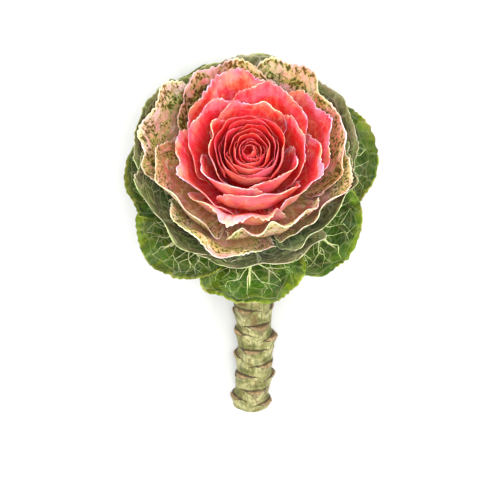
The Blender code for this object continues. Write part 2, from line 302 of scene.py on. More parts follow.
@dataclass
class MeshData:
    """Points, faces and point attributes that are gathered into one mesh."""

    name: str
    points: list[Array] = field(default_factory=list)
    faces: Faces = field(default_factory=list)
    values: dict[str, list[Array]] = field(default_factory=dict)
    count: int = 0

    def add(self, points: Array, faces: Faces, values: Values) -> None:
        """Add one shell.

        Args:
            points: Its points, in metres.
            faces: Its faces, counted from its own first point.
            values: Point attributes, alike on every shell of the mesh.
        """
        self.faces += [tuple(i + self.count for i in face) for face in faces]
        self.points.append(points)
        self.count += len(points)
        for key, value in values.items():
            self.values.setdefault(key, []).append(value)

    def object(self, material: Material) -> Object:
        """Return the mesh as an object of the scene.

        Args:
            material: Its finish.

        Returns:
            The new object. A leaf's attribute leaf_uv is its UV map too.
        """
        mesh = bpy.data.meshes.new(self.name)
        mesh.from_pydata(np.concatenate(self.points).tolist(), [], self.faces)
        values = {key: np.concatenate(parts) for key, parts in self.values.items()}
        set_values(mesh, values)
        if "leaf_uv" in values:
            corners = np.zeros(len(mesh.loops), np.int32)
            mesh.loops.foreach_get("vertex_index", corners)
            layer = mesh.uv_layers.new(name="leaf")
            layer.data.foreach_set("uv", values["leaf_uv"][corners, :2].ravel())
        mesh.materials.append(material)
        mesh.shade_smooth()
        mesh.update()
        return add_object(self.name, mesh)


def seat(obj: Object, slot: Slot, *nodes: str) -> Object:
    """Let a piece ride on the body, log its slot and let it stand for CAD nodes.

    Args:
        obj: The piece.
        slot: Where the record keeps its finish.
        *nodes: The CAD nodes that it stands for.

    Returns:
        The same piece.
    """
    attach(obj, BODY)
    if nodes:
        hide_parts(*nodes)
    log.info("%s: %d faces, slot %s", obj.name, len(obj.data.polygons), slot.value)
    return obj


# Node networks


@dataclass
class Net:
    """A node tree that is being built, with short calls for what it needs most."""

    tree: Tree

    def feed(self, socket: Socket, value: object) -> None:
        """Link an output to a socket, or set the socket to a plain value.

        Args:
            socket: The input.
            value: An output, or a plain value.
        """
        if isinstance(value, Socket):
            self.tree.links.new(value, socket)
        else:
            socket.default_value = value

    def fill(self, node: Node, inputs: dict) -> Node:
        """Feed a node's inputs, each by its name or number, and return the node.

        Args:
            node: The node.
            inputs: Socket name or number, with an output or a plain value.

        Returns:
            The same node.
        """
        for key, value in inputs.items():
            self.feed(node.inputs[key], value)
        return node

    def node(self, kind: str, inputs: dict | None = None, **settings: object) -> Node:
        """Add a node.

        Args:
            kind: Its bl_idname.
            inputs: Socket name or number, with an output to link or a plain value.
            **settings: The node's own properties.

        Returns:
            The new node.
        """
        made = self.tree.nodes.new(kind)
        for key, value in settings.items():
            setattr(made, key, value)
        return self.fill(made, inputs or {})

    def math(self, operation: str, *values: object, clamp: bool = False) -> Socket:
        """Return the result of a Math node."""
        return self.node("ShaderNodeMath", dict(enumerate(values)), operation=operation,
                         use_clamp=clamp).outputs[0]

    def mul(self, a: object, b: object) -> Socket:
        """Return a times b."""
        return self.math("MULTIPLY", a, b)

    def line(self, a: object, slope: object, start: object) -> Socket:
        """Return start plus slope times a."""
        return self.math("MULTIPLY_ADD", a, slope, start)

    def total(self, first: tuple, *others: tuple) -> Socket:
        """Return the sum of some values, each given with its weight.

        Args:
            first: The first value and its weight.
            *others: The other values and theirs.

        Returns:
            The sum.
        """
        made = self.mul(*first)
        for value, weight in others:
            made = self.line(value, weight, made)
        return made

    def vector(self, operation: str, *values: object) -> Socket:
        """Return the result of a Vector Math node."""
        return self.node("ShaderNodeVectorMath", dict(enumerate(values)),
                         operation=operation).outputs[0]

    def band(self, value: object, low: object, high: object,
             start: float = 0.0, end: float = 1.0) -> Socket:
        """Return a smooth step of a value from start at low to end at high."""
        return self.node("ShaderNodeMapRange", {0: value, 1: low, 2: high, 3: start, 4: end},
                         interpolation_type="SMOOTHSTEP").outputs[0]

    def blend(self, share: object, first: object, second: object, mode: str = "MIX") -> Socket:
        """Return a mix of two colours.

        Args:
            share: How much of the second colour there is.
            first: A colour, or an output that gives one.
            second: The same.
            mode: How the second colour is laid over the first.

        Returns:
            The mixed colour.
        """
        made = self.node("ShaderNodeMix", data_type="RGBA", blend_type=mode)
        for index, value in ((0, share), (6, first), (7, second)):
            if isinstance(value, tuple):
                value = (*value, 1.0)
            self.feed(made.inputs[index], value)
        return made.outputs[2]

    def tint(self, colour: object, second: object, mask: object, share: object) -> Socket:
        """Return a colour, blended with a second one by a share of a mask."""
        return self.blend(self.mul(mask, share), colour, second)

    def noise(self, place: object, scale: float, detail: float, rough: float,
              bend: float = 0.0, shift: Place | None = None) -> Socket:
        """Return the value of a Noise texture, about 0.5 on average.

        Args:
            place: Where the pattern is read.
            scale: Cells of the pattern to a unit of place.
            detail: How many finer patterns are laid over it.
            rough: How strong the finer ones are.
            bend: How far the pattern is bent by another.
            shift: How far off it is read, which gives another pattern of the kind.

        Returns:
            The value.
        """
        return self.node("ShaderNodeTexNoise", {
            "Vector": self.vector("ADD", place, shift) if shift else place, "Scale": scale,
            "Detail": detail, "Roughness": rough, "Distortion": bend}).outputs[0]

    def read(self, name: str, vector: bool = False) -> Socket:
        """Return a point attribute of the mesh."""
        made = self.node("ShaderNodeAttribute", attribute_name=name)
        return made.outputs["Vector" if vector else "Fac"]

    def group(self, tree: Tree, **inputs: object) -> Sockets:
        """Place a node group, feed its inputs and return its outputs."""
        return self.node("ShaderNodeGroup", inputs, node_tree=tree).outputs

    def bump(self, height: Socket, strength: float, distance: float) -> Socket:
        """Return the normal of a surface with relief."""
        return self.node("ShaderNodeBump", {
            "Height": height, "Strength": strength, "Distance": distance}).outputs[0]


def new_material(name: str) -> tuple[Material, Net, Node]:
    """Return a new material with its Net and its shader.

    Args:
        name: Its name.

    Returns:
        The material, its Net and its Principled shader.
    """
    made = bpy.data.materials.new(name)
    made.use_nodes = True
    return made, Net(made.node_tree), made.node_tree.nodes["Principled BSDF"]


def new_group(name: str, inputs: dict[str, float | None],
              outputs: tuple[str, ...]) -> tuple[Tree, Net, Sockets, Sockets]:
    """Start a shader node group.

    Args:
        name: Its name.
        inputs: Each input's name and value, with no value for a vector.
        outputs: The names of its outputs, which are all values.

    Returns:
        The tree, its Net, and the sockets inside it: what it is given and its results.
    """
    tree = bpy.data.node_groups.new(name, "ShaderNodeTree")
    for key, value in inputs.items():
        kind = "NodeSocketVector" if value is None else "NodeSocketFloat"
        socket = tree.interface.new_socket(key, in_out="INPUT", socket_type=kind)
        if value is not None:
            socket.default_value = value
    for key in outputs:
        tree.interface.new_socket(key, in_out="OUTPUT", socket_type="NodeSocketFloat")
    net = Net(tree)
    return tree, net, net.node("NodeGroupInput").outputs, net.node("NodeGroupOutput").inputs


class Effects:
    """Node groups that several finishes share, each built once."""

    def __init__(self) -> None:
        """Build every group."""
        self.veins = self._veins()
        self.specks = self._specks()
        self.rim = self._rim()
        self.ribs = self._ribs()

    def _veins(self) -> Tree:
        """Return a net of branching veins: a coarse and a fine mesh of lines.

        Returns:
            The group, with the outputs Coarse and Fine.
        """
        tree, net, given, result = new_group(
            "Vein net", {"Place": None, "Cell": 7.0, "Width": 0.45}, ("Coarse", "Fine"))
        drift = net.node("ShaderNodeTexNoise", {
            "Vector": given["Place"], "Scale": 0.16, "Detail": 2.0}).outputs["Color"]
        shift = net.vector("SUBTRACT", drift, (0.5, 0.5, 0.5))
        bent = net.vector("MULTIPLY_ADD", shift, (3.4, 3.4, 3.4), given["Place"])
        for name, size, width in (("Coarse", 1.0, 1.0), ("Fine", 0.38, 0.62)):
            scale = net.math("DIVIDE", 1.0, net.mul(given["Cell"], size))
            cells = net.node("ShaderNodeTexVoronoi", {"Vector": bent, "Scale": scale},
                             feature="DISTANCE_TO_EDGE", voronoi_dimensions="2D")
            gap = net.math("DIVIDE", cells.outputs["Distance"], scale)
            reach = net.mul(given["Width"], width)
            net.feed(result[name], net.band(gap, net.mul(reach, 0.15), reach, 1.0, 0.0))
        return tree

    def _specks(self) -> Tree:
        """Return clusters of dark specks that lie between the veins near the margin.

        Returns:
            The group, with the outputs Specks and Halo.
        """
        tree, net, given, result = new_group(
            "Margin specks", {"Place": None, "Rim": 0.0, "Depth": 16.0, "Amount": 0.5},
            ("Specks", "Halo"))
        long_place = net.vector("MULTIPLY", given["Place"], (1.0, 0.42, 1.0))
        spots = net.noise(long_place, scale=1.0, detail=2.0, rough=0.55, bend=0.3)
        clusters = net.noise(given["Place"], scale=0.13, detail=3.0, rough=0.6)
        near = net.band(given["Rim"], net.mul(given["Depth"], 0.35), given["Depth"], 1.0, 0.0)
        away = net.band(given["Rim"], 0.1, 1.4)
        drive = net.mul(net.mul(near, net.band(clusters, 0.30, 0.52)), away)
        level = net.line(net.mul(drive, given["Amount"]), -0.27, 0.80)
        net.feed(result["Specks"], net.band(spots, level, net.math("ADD", level, 0.10)))
        net.feed(result["Halo"], net.band(spots, net.math("SUBTRACT", level, 0.17), level))
        return tree

    def _rim(self) -> Tree:
        """Return a pale band of uneven width that runs into the leaf in streaks.

        Returns:
            The group, with the outputs Edge and Glow.
        """
        tree, net, given, result = new_group(
            "Pale margin", {"Place": None, "Rim": 0.0, "Band": 6.0, "Streak": 0.5, "Reach": 1.0},
            ("Edge", "Glow"))
        swing = net.noise(given["Place"], scale=0.085, detail=2.0, rough=0.55)
        swing = net.band(swing, 0.34, 0.64, 0.18, 1.7)
        far = net.math("DIVIDE", given["Rim"], net.mul(given["Band"], swing))
        far = net.math("ADD", far, net.line(given["Streak"], -2.4, 1.2))
        patchy = net.math("MULTIPLY_ADD", swing, 0.75, 0.10, clamp=True)
        net.feed(result["Glow"], net.mul(patchy, net.band(far, 0.0, 1.1, 1.0, 0.0)))
        uneven = net.noise(given["Place"], scale=0.30, detail=3.0, rough=0.65)
        width = net.mul(net.band(uneven, 0.36, 0.66, 0.15, 1.8), given["Reach"])
        edge = net.mul(net.band(uneven, 0.42, 0.60), net.band(given["Rim"], 0.0, width, 1.0, 0.0))
        net.feed(result["Edge"], edge)
        return tree

    def _ribs(self) -> Tree:
        """Return ribs and streaks that fan out from the leaf's root.

        Returns:
            The group, with the outputs Ribs, Hair and Streak.
        """
        tree, net, given, result = new_group(
            "Fan ribs", {"Fan": None, "Count": 13.0}, ("Ribs", "Hair", "Streak"))
        across = net.node("ShaderNodeSeparateXYZ", {0: given["Fan"]}).outputs[0]
        place = net.vector("MULTIPLY", given["Fan"], (5.0, 3.0, 1.0))
        drift = net.noise(place, scale=1.0, detail=2.0, rough=0.5)
        across = net.math("ADD", across, net.line(drift, 0.20, -0.10))
        for name, times in (("Ribs", 1.0), ("Hair", 3.6)):
            wave = net.math("SINE", net.mul(across, net.mul(given["Count"], times * TAU)))
            net.feed(result[name], net.band(wave, 0.35, 1.0))
        spread = net.vector("MULTIPLY", given["Fan"], (46.0, 4.5, 1.0))
        net.feed(result["Streak"], net.noise(spread, scale=1.0, detail=3.0, rough=0.6))
        return tree


@dataclass(frozen=True)
class LeafFinish:
    """The finish of one ring of leaves. Colours are linear red, green and blue."""

    name: str
    inner: Colour                # the face towards the heart
    inner_old: Colour            # that face on the outermost leaves
    inner_deep_and_shade: Colour           # blotches, and painted shade with a deeper colour towards the root of that face
    outer: Colour                # the face away from the heart
    outer_old: Colour            # that face on the outermost leaves
    outer_root: Colour           # that face near the root
    rib: Colour
    vein: Colour
    glow: Colour                 # wide pale band at the margin
    edge: Colour                 # the very margin
    band: float = 6.0            # width of the pale band, in millimetres
    band_old: float = 6.0        # its width on the outermost leaves
    glow_share: float = 0.7
    edge_share: float = 0.9
    edge_width: float = 1.0
    rib_share: float = 0.35
    patch_share: float = 0.55    # pale patches on the inner face
    vein_share: float = 0.0
    vein_cell: float = 7.0
    vein_width: float = 0.5
    vein_relief: float = 0.20
    speck: Colour = (0.048, 0.082, 0.018)
    speck_warm: Colour = (0.135, 0.085, 0.022)
    halo: Colour = (0.36, 0.39, 0.10)
    speck_amount: float = 0.0
    speck_depth: float = 40.0    # how far in from the margin specks lie, in millimetres
    root_reach: float = 0.6      # how far up the root's colour goes, in t
    wax: Colour = (0.38, 0.46, 0.28)
    bloom: float = 0.0           # how much of that wax lies on the leaf
    roughness: float = 0.48
    bump: float = 0.35
    deep_shade_reach: float = 0.92     # how far up the inner face keeps that shade and colour, in t
    deep_shade_swing: float = 0.0      # how much further up the painted shade reaches on the lower leaves
    tone_swing: float = 0.25     # how much the leaves differ in brightness: at random, and as painted light by side
    pale_light_swing: float = 0.0      # and in their pale parts, at random and as painted light by side
    hue_swing: float = 0.0       # how much warm and cool patches differ
    gloss: float = 0.30
    main_share: float = 0.85     # how pale the main veins are
    through: float = 0.0         # how much light the thin leaf lets through

    def material(self, effects: Effects) -> Material:
        """Return the material.

        Args:
            effects: The node groups that all the finishes share.

        Returns:
            A new material, which reads the attributes of leaf_values.
        """
        made, net, shader = new_material(self.name)
        place, fan = net.read("flat", True), net.read("leaf_uv", True)
        inner, rim, rib, tone, depth, age = (
            net.read(name) for name in ("inner", "rim", "rib", "tone", "depth", "age"))
        blotch = net.noise(place, scale=0.11, detail=4.0, rough=0.62, bend=0.6)
        grain = net.noise(place, scale=0.75, detail=3.0, rough=0.62)
        patch = net.noise(place, 0.15, detail=4.0, rough=0.65, bend=0.8, shift=(31.0, 7.0, 3.0))
        warmth = net.noise(place, 0.09, detail=3.0, rough=0.6, bend=0.4, shift=(5.0, 61.0, 9.0))
        ribs = net.group(effects.ribs, Fan=fan)
        streak = ribs["Streak"]
        light_rib = net.math("MAXIMUM", ribs["Ribs"], net.mul(ribs["Hair"], 0.45))
        veins = net.group(effects.veins, Place=place, Cell=self.vein_cell, Width=self.vein_width)
        margin = net.group(effects.rim, Place=place, Rim=rim, Streak=streak,
                           Band=net.line(age, self.band_old - self.band, self.band),
                           Reach=self.edge_width)
        # Pale parts are stronger on leaves of high tone, which lie mostly on the head's upper
        # side: painted light.
        pale_by_tone_and_light = net.line(tone, self.pale_light_swing, 1.0 - 0.6 * self.pale_light_swing)
        pale = net.mul(net.mul(net.band(patch, 0.50, 0.66), self.patch_share), pale_by_tone_and_light)

        # The two faces
        # The inner face darkens towards its root, as real blotches and as painted shade in the
        # hollow of the leaf, further up on leaves of high tone.
        reach = net.line(tone, self.deep_shade_swing, self.deep_shade_reach - 0.5 * self.deep_shade_swing)
        deep_and_shade = net.math("MAXIMUM", net.mul(net.band(blotch, 0.45, 0.60), 0.65),
                        net.band(depth, 0.45, reach, 1.0, 0.0))
        face = net.blend(deep_and_shade, net.blend(age, self.inner, self.inner_old), self.inner_deep_and_shade)
        face = net.tint(face, self.glow, pale, net.band(depth, 0.3, 0.8))
        back = net.blend(net.band(age, 0.25, 0.85), self.outer, self.outer_old)
        back = net.tint(back, self.inner, net.band(blotch, 0.45, 0.62), 0.5)
        back = net.tint(back, self.glow, pale, 0.6)
        root = net.math("ADD", depth, net.line(streak, 0.4, -0.2))
        back = net.blend(net.band(root, 0.10, self.root_reach, 1.0, 0.0), back, self.outer_root)
        colour = net.blend(inner, back, face)

        # Streaks, ribs, the pale margin, veins and specks
        colour = net.tint(colour, self.rib, net.band(streak, 0.48, 0.72), self.rib_share)
        colour = net.tint(colour, self.rib, light_rib, self.rib_share)
        colour = net.tint(colour, self.glow, net.mul(margin["Glow"], self.glow_share), pale_by_tone_and_light)
        if self.vein_share > 0.0:
            lines = net.math("MAXIMUM", net.mul(veins["Coarse"], 0.9),
                             net.mul(veins["Fine"], 0.35))
            colour = net.tint(colour, self.vein, lines, self.vein_share)
        if self.speck_amount > 0.0:
            amount = net.line(tone, -0.45 * self.speck_amount, 1.15 * self.speck_amount)
            specks = net.group(effects.specks, Place=place, Rim=rim, Depth=self.speck_depth,
                               Amount=amount)
            colour = net.tint(colour, self.halo, specks["Halo"], 0.8)
            speck = net.blend(net.band(patch, 0.40, 0.60), self.speck, self.speck_warm)
            colour = net.blend(specks["Specks"], colour, speck)
        colour = net.tint(colour, self.vein, net.band(rib, 0.25, 0.9), self.main_share)
        colour = net.tint(colour, self.edge, margin["Edge"], self.edge_share)
        if self.bloom > 0.0:
            colour = net.tint(colour, self.wax, net.band(grain, 0.35, 0.7), self.bloom)

        # Light and dark: random grain, times each leaf's tone, which paints light and shade by
        # side; then warm and cool patches
        grain_and_side_light = net.mul(net.line(grain, 0.75, 0.62),
                        net.line(tone, self.tone_swing, 1.0 - 0.6 * self.tone_swing))
        warmth = net.band(warmth, 0.34, 0.66, -self.hue_swing, self.hue_swing)
        grain_side_light_and_hue = net.node("ShaderNodeCombineColor", {
            0: grain_and_side_light, 1: net.mul(grain_and_side_light, net.math("ADD", 1.0, warmth)),
            2: net.mul(grain_and_side_light, net.math("SUBTRACT", 1.0, warmth))})
        relief = net.total((veins["Coarse"], self.vein_relief), (streak, 0.35),
                           (light_rib, 0.15), (grain, 0.45))
        net.fill(shader, {
            "Base Color": net.blend(1.0, colour, grain_side_light_and_hue.outputs[0], "MULTIPLY"),
            "Roughness": net.line(grain, 0.18, self.roughness - 0.09),
            "Normal": net.bump(relief, self.bump, 0.8 * MM),
            "Specular IOR Level": self.gloss,
            "Subsurface Weight": self.through,
            "Subsurface Radius": (1.0, 0.35, 0.3),
            "Subsurface Scale": 3.0 * MM,
            "Sheen Weight": 0.01,
            "Sheen Roughness": 0.4,
        })
        return made


# Leaves


@dataclass(frozen=True)
class Detail:
    """Fine shape that a ring's leaves have over the CAD form, in millimetres."""

    columns: int = 96
    rows: int = 22
    margin_rows: int = 5
    crowding: float = 1.5        # how much closer the rows lie near the margin
    ruffle: float = 1.5
    frill: float = 0.8
    frill_count: float = 9.0
    tooth: float = 1.0
    tooth_pitch: float = 2.3
    lobe: float = 1.2
    rib: float = 0.35
    pucker: float = 0.2
    pucker_size: float = 7.0
    roll: float = 0.0            # how far the oldest leaves' margins roll out and down
    root_half: float = 0.7
    margin_half: float = 0.16
    veins: Venation = Venation.FAN


@dataclass(frozen=True)
class Outline:
    """How a leaf's outline lies in its own plane, before it is bent."""

    swing: float                 # how far round its margin runs, in half turns
    rise: float                  # how high the margin is at its ends
    root: float                  # half the root's width


CUPPED = Outline(swing=0.58, rise=0.55, root=0.34)
SPREAD = Outline(swing=0.54, rise=0.62, root=0.30)


@dataclass
class Vein:
    """One vein, as a line in s over t, which leaves the vein that it branches from."""

    parent: "Vein | None"
    start: float
    drift: float
    weight: float
    end: float
    place: float = 0.0

    def where(self, t: Array) -> Array:
        """Return where the vein runs, as s at t.

        Args:
            t: Places from the leaf's root to its margin.

        Returns:
            The vein's s at each.
        """
        base = self.parent.where(t) if self.parent else self.place
        span = np.clip((t - self.start) / (1.0 - self.start), 0.0, 1.0)
        return base + self.drift * np.sin(0.5 * math.pi * span) ** 0.85


@dataclass
class Blade:
    """One leaf. Lengths are in millimetres in the head's own frame."""

    azimuth: float
    half_angle: float
    root_radius: float
    root_height: float
    rim_radius: float
    rim_height: float
    openness: float
    bulge: float
    lip: float
    lean: float
    wave: float
    wave_count: float
    wave_phase: float
    side_turn: float
    detail: Detail
    seed: float
    age: float
    collar: bool = False

    # A spread leaf's neck, its arch, and how its tip curls and one side tucks under
    NECK, NECK_REACH, ARCH, CURL, TUCK = 0.35, 0.55, 1.3, 7.0, 6.0
    # Where a cupped leaf's lip starts to flare and its margin to roll
    FLARE_START, ROLL_START = 0.72, 0.80
    # The roll grows over these ages, and is greatest at this bearing
    ROLL_AGES, ROLL_BEARING, ROLL_LEAST, ROLL_DROP = (0.35, 0.9), math.radians(80.0), 0.25, 0.55
    # A tooth rises over this share of its pitch, and falls over the rest
    TOOTH_RISE = 0.35
    # Step of the slopes that give the normal
    STEP = 0.004

    @property
    def length(self) -> float:
        """Length along the middle of the leaf.

        Returns:
            The length, in millimetres.
        """
        if self.collar:
            return self.rim_radius
        return math.hypot(self.rim_height - self.root_height, self.rim_radius - self.root_radius)

    @property
    def half_width(self) -> float:
        """Half the leaf's width, round the head."""
        return self.half_angle * self.rim_radius * (0.7 if self.collar else 1.0)

    def teeth(self, s: Array) -> Array:
        """Return how far the margin stands out, as small teeth on larger lobes.

        Args:
            s: Places across the leaf.

        Returns:
            The distances, in millimetres.
        """
        d = self.detail
        run = s * self.half_width * 1.15
        jitter = value_noise(run / (2.5 * d.tooth_pitch), 0.0, self.seed + 3.0) * 0.9
        phase = run / d.tooth_pitch + jitter
        number = np.floor(phase)
        part = phase - number
        size = value_noise(number * 0.731, 7.0, self.seed + 5.0) * 0.7 + 0.8
        saw = np.where(part < self.TOOTH_RISE, part / self.TOOTH_RISE,
                       (1.0 - part) / (1.0 - self.TOOTH_RISE))
        ragged = value_noise(run / 1.3, 5.0, self.seed + 7.0)
        lobes = value_noise(run / 8.0, 3.0, self.seed + 9.0)
        return d.tooth * (size * (saw - 0.5) + 0.35 * ragged) + d.lobe * lobes

    def fine(self, s: Array, t: Array) -> Array:
        """Return the fine displacement of the leaf's middle surface.

        Args:
            s: Places across the leaf.
            t: Places from its root to its margin.

        Returns:
            The displacement at each, in millimetres.
        """
        d = self.detail
        calm = 1.0 - s ** 6
        out = d.ruffle * t ** 5 * value_noise(s * 3.6 + 11.0, t * 0.8, self.seed) * calm
        out += d.frill * t ** 12 * value_noise(s * d.frill_count, t * 2.0, self.seed + 1.0) * calm
        x, y = s * self.half_width * t, t * self.length
        lumps = value_noise(x / d.pucker_size, y / d.pucker_size, self.seed + 2.0)
        return out + d.pucker * lumps * np.sin(math.pi * np.clip(t, 0, 1)) ** 0.5

    def middle(self, s: Array, t: Array, out: Array) -> Array:
        """Return points of the leaf's middle surface, in the world.

        Args:
            s: Places across the leaf.
            t: Places from its root to its margin.
            out: How far the margin is moved out there, in millimetres.

        Returns:
            One row for each point.
        """
        form = SPREAD if self.collar else CUPPED
        tall = self.rim_height - self.root_height
        angle = form.swing * math.pi * s
        root_x = form.root * s
        edge_x, edge_y = np.sin(angle), form.rise + (1.0 - form.rise) * np.cos(angle)
        reach = t * (1.0 + out / (self.rim_radius if self.collar else tall))
        x = root_x + (edge_x - root_x) * reach
        y = edge_y * reach
        y = y + self.lean * x * t
        ripple = self.wave * t ** 3 * (1.0 - s ** 4)
        ripple = ripple * np.sin(TAU * self.wave_count * s + self.wave_phase)
        ripple = ripple + self.fine(s, t)
        up = np.maximum(0.0, y)
        if self.collar:
            open_out = np.sin(0.5 * math.pi * np.minimum(1.0, up / self.NECK_REACH))
            x = x * (self.NECK + (1.0 - self.NECK) * open_out)
            radius = self.root_radius + (self.rim_radius - self.root_radius) * y
            height = (self.root_height + tall * up ** self.ARCH - self.CURL * y ** 4
                      + self.TUCK * x * y + ripple)
        else:
            turn = 0.5 * math.pi * y
            belly = self.rim_radius - self.lip + self.bulge
            flare = np.maximum(0.0, (y - self.FLARE_START) / (1.0 - self.FLARE_START)) ** 2
            radius = (self.root_radius + (belly - self.root_radius) * np.sin(turn)
                      - self.bulge * up ** 3 + self.lip * flare + ripple
                      + self.side_turn * t ** 4 * x * x)
            lift = y + (1.0 - np.cos(turn) - y) * self.openness
            height = self.root_height + tall * lift
            over = self._roll() * np.clip(
                (y - self.ROLL_START) / (1.0 - self.ROLL_START), 0.0, 1.2) ** 2
            radius, height = radius + over, height - self.ROLL_DROP * over
        azimuth = self.azimuth + self.half_angle * x
        local = np.column_stack((radius * np.cos(azimuth), radius * np.sin(azimuth), height))
        return settle(to_world(close_over(local)), self.half_thickness(t))

    def _roll(self) -> float:
        """Return how far the margin rolls out, which is most on the head's upper side.

        Returns:
            The roll, in millimetres.
        """
        faces_up = max(0.0, math.cos(self.azimuth - self.ROLL_BEARING))
        share = self.ROLL_LEAST + (1.0 - self.ROLL_LEAST) * faces_up
        return self.detail.roll * share * smooth(*self.ROLL_AGES, self.age)

    def half_thickness(self, t: Array) -> Array:
        """Return half the leaf's thickness, in metres."""
        return lerp(self.detail.root_half, self.detail.margin_half,
                    np.sqrt(np.clip(t, 0, 1))) * MM

    def normal(self, s: Array, t: Array) -> Array:
        """Return the normal of the leaf's outer face.

        Args:
            s: Places across the leaf.
            t: Places from its root to its margin.

        Returns:
            A unit vector for each place.
        """
        step, none = self.STEP, np.zeros_like(s)
        s, t = np.clip(s, -0.99, 0.99), np.maximum(t, 0.02)
        across = self.middle(s + step, t, none) - self.middle(s - step, t, none)
        along = self.middle(s, t + step, none) - self.middle(s, t - step, none)
        return unit(np.cross(across, along))

    def veins(self) -> list[Vein]:
        """Return the leaf's main veins, the midrib first, then its branches.

        Returns:
            The veins, each after the one that it branches from.
        """
        draw = random.Random(f"veins {self.seed}")
        made = [Vein(None, 0.0, 0.0, 1.0, 0.95)]
        for side in (-1, 1):
            for k in range(4):
                if self.detail.veins is Venation.FAN:
                    place = side * (k + 1) * 0.21 + draw.uniform(-0.03, 0.03)
                    rib = Vein(None, 0.0, 0.0, 0.45, 0.9, place)
                    made += [rib, Vein(rib, 0.35, draw.choice((-1, 1)) * 0.10, 0.35, 0.9)]
                    continue
                start = 0.14 + 0.17 * k + draw.uniform(-0.035, 0.035)
                reach = 0.88 * (1.0 - start) ** 1.3 * draw.uniform(0.85, 1.1)
                end = draw.uniform(0.84, 0.93)
                branch = Vein(made[0], start, side * reach, 0.62 - 0.05 * k, end)
                made.append(branch)
                for turn in (-1, 1):
                    fork = start + (1.0 - start) * draw.uniform(0.20, 0.70)
                    drift = turn * draw.uniform(0.14, 0.30) * (1.0 - 0.5 * start)
                    made.append(Vein(branch, fork, drift, 0.30, min(0.92, fork + 0.24)))
        return made

    def vein_mask(self, s: Array, t: Array) -> Array:
        """Return how much of a main vein there is at each point, from 0 to 1.

        Args:
            s: Places across the leaf.
            t: Places from its root to its margin.

        Returns:
            The mask at each place.
        """
        mask = np.zeros_like(s)
        span = self.half_width * (0.12 + 0.88 * t)
        for vein in self.veins():
            if vein.weight < LIGHT_VEIN:
                continue
            width = vein.weight * 1.25 * (1.0 - np.clip(t, 0.0, 1.0)) ** 1.1 + 0.14
            near = np.exp(-(np.abs(s - vein.where(t)) * span / width) ** 2)
            near *= smooth(vein.start - 0.02, vein.start + 0.02, t)
            near *= 1.0 - smooth(vein.end - 0.2, vein.end, t)
            mask = np.maximum(mask, near * (0.45 + 0.55 * vein.weight))
        return mask


@dataclass
class SheetGrid:
    """The points and faces of one closed leaf, shared by a whole ring.

    The rows near the margin have twice the columns, so that its teeth are crisp.
    """

    detail: Detail

    def __post_init__(self) -> None:
        """Lay out the rows, then the faces of both sides and of the border."""
        d = self.detail
        rows = range(d.rows + 1)
        counts = [d.columns * (2 if row > d.rows - d.margin_rows else 1) for row in rows]
        sizes = [count + 1 for count in counts]
        *starts, self.size = np.cumsum([0, *sizes]).tolist()
        self.s = np.concatenate([np.linspace(-1.0, 1.0, size) for size in sizes])
        self.t = np.repeat([1.0 - (1.0 - row / d.rows) ** d.crowding for row in rows], sizes)
        self.faces: Faces = []
        for low, high, count, next_count in zip(starts, starts[1:], counts, counts[1:]):
            for k in range(count):
                if count == next_count:
                    self._both(low + k, low + k + 1, high + k + 1, high + k)
                else:
                    self._both(low + k, low + k + 1, high + 2 * k + 1)
                    self._both(low + k, high + 2 * k + 1, high + 2 * k)
                    self._both(low + k + 1, high + 2 * k + 2, high + 2 * k + 1)
        ends = [start + count for start, count in zip(starts, counts)]
        border = [*range(sizes[0]), *ends[1:-1], *range(ends[-1], starts[-1] - 1, -1),
                  *starts[-2:0:-1]]
        for a, b in zip(border, border[1:] + border[:1]):
            self.faces.append((a + self.size, b + self.size, b, a))

    def _both(self, *corners: int) -> None:
        """Add a face to the outer side, and turned round to the inner side."""
        self.faces += [corners, tuple(i + self.size for i in reversed(corners))]

    def shell(self, blade: Blade) -> tuple[Array, Values]:
        """Return one leaf's points, outer side first, with their attributes.

        Args:
            blade: The leaf.

        Returns:
            The points, in metres, and the attributes by their names.
        """
        s, t = self.s, self.t
        out = blade.teeth(s) * smooth(0.90, 1.0, t) * (1.0 - s ** 12)
        centre, normal = blade.middle(s, t, out), blade.normal(s, t)
        half = blade.half_thickness(t)[:, None]
        rib = blade.vein_mask(s, t)
        raised = half + (blade.detail.rib * MM * rib * (1.0 - t ** 3))[:, None]
        points = above(np.concatenate((centre + normal * raised, centre - normal * half)))
        ones = np.ones(self.size)
        across = s * blade.half_width * (0.15 + 0.85 * t)
        flat = np.column_stack((across, t * blade.length, ones * blade.seed * SEED_STEP))
        fan = np.column_stack((0.5 + 0.5 * s, t, ones * blade.seed))
        # Each leaf's tone is partly random and partly painted light: low on the head's lower side,
        # towards the table, where the finish paints shade, and high on its upper side.
        chance = math.sin(blade.seed * 91.7) * 0.5 + 0.5
        tone = 0.35 * chance + 0.65 * (0.5 + 0.5 * math.sin(blade.azimuth))
        values = leaf_values(t, flat, fan, age=blade.age, tone=tone)
        values["rib"] = rib
        values["rim"] = (1.0 - t) * blade.length * (0.55 + 0.45 * np.cos(0.5 * math.pi * s))
        values = {key: np.concatenate((data, data)) for key, data in values.items()}
        values["inner"] = np.repeat((0.0, 1.0), self.size)
        return points, values


@dataclass(frozen=True)
class Play:
    """How far each leaf may differ from its ring."""

    width: Pair = (0.94, 1.05)
    reach: Pair | None = None
    rise: Pair = (-1.5, 1.5)
    lean: Pair = (-0.05, 0.05)
    waves: Pair = (2.2, 3.4)


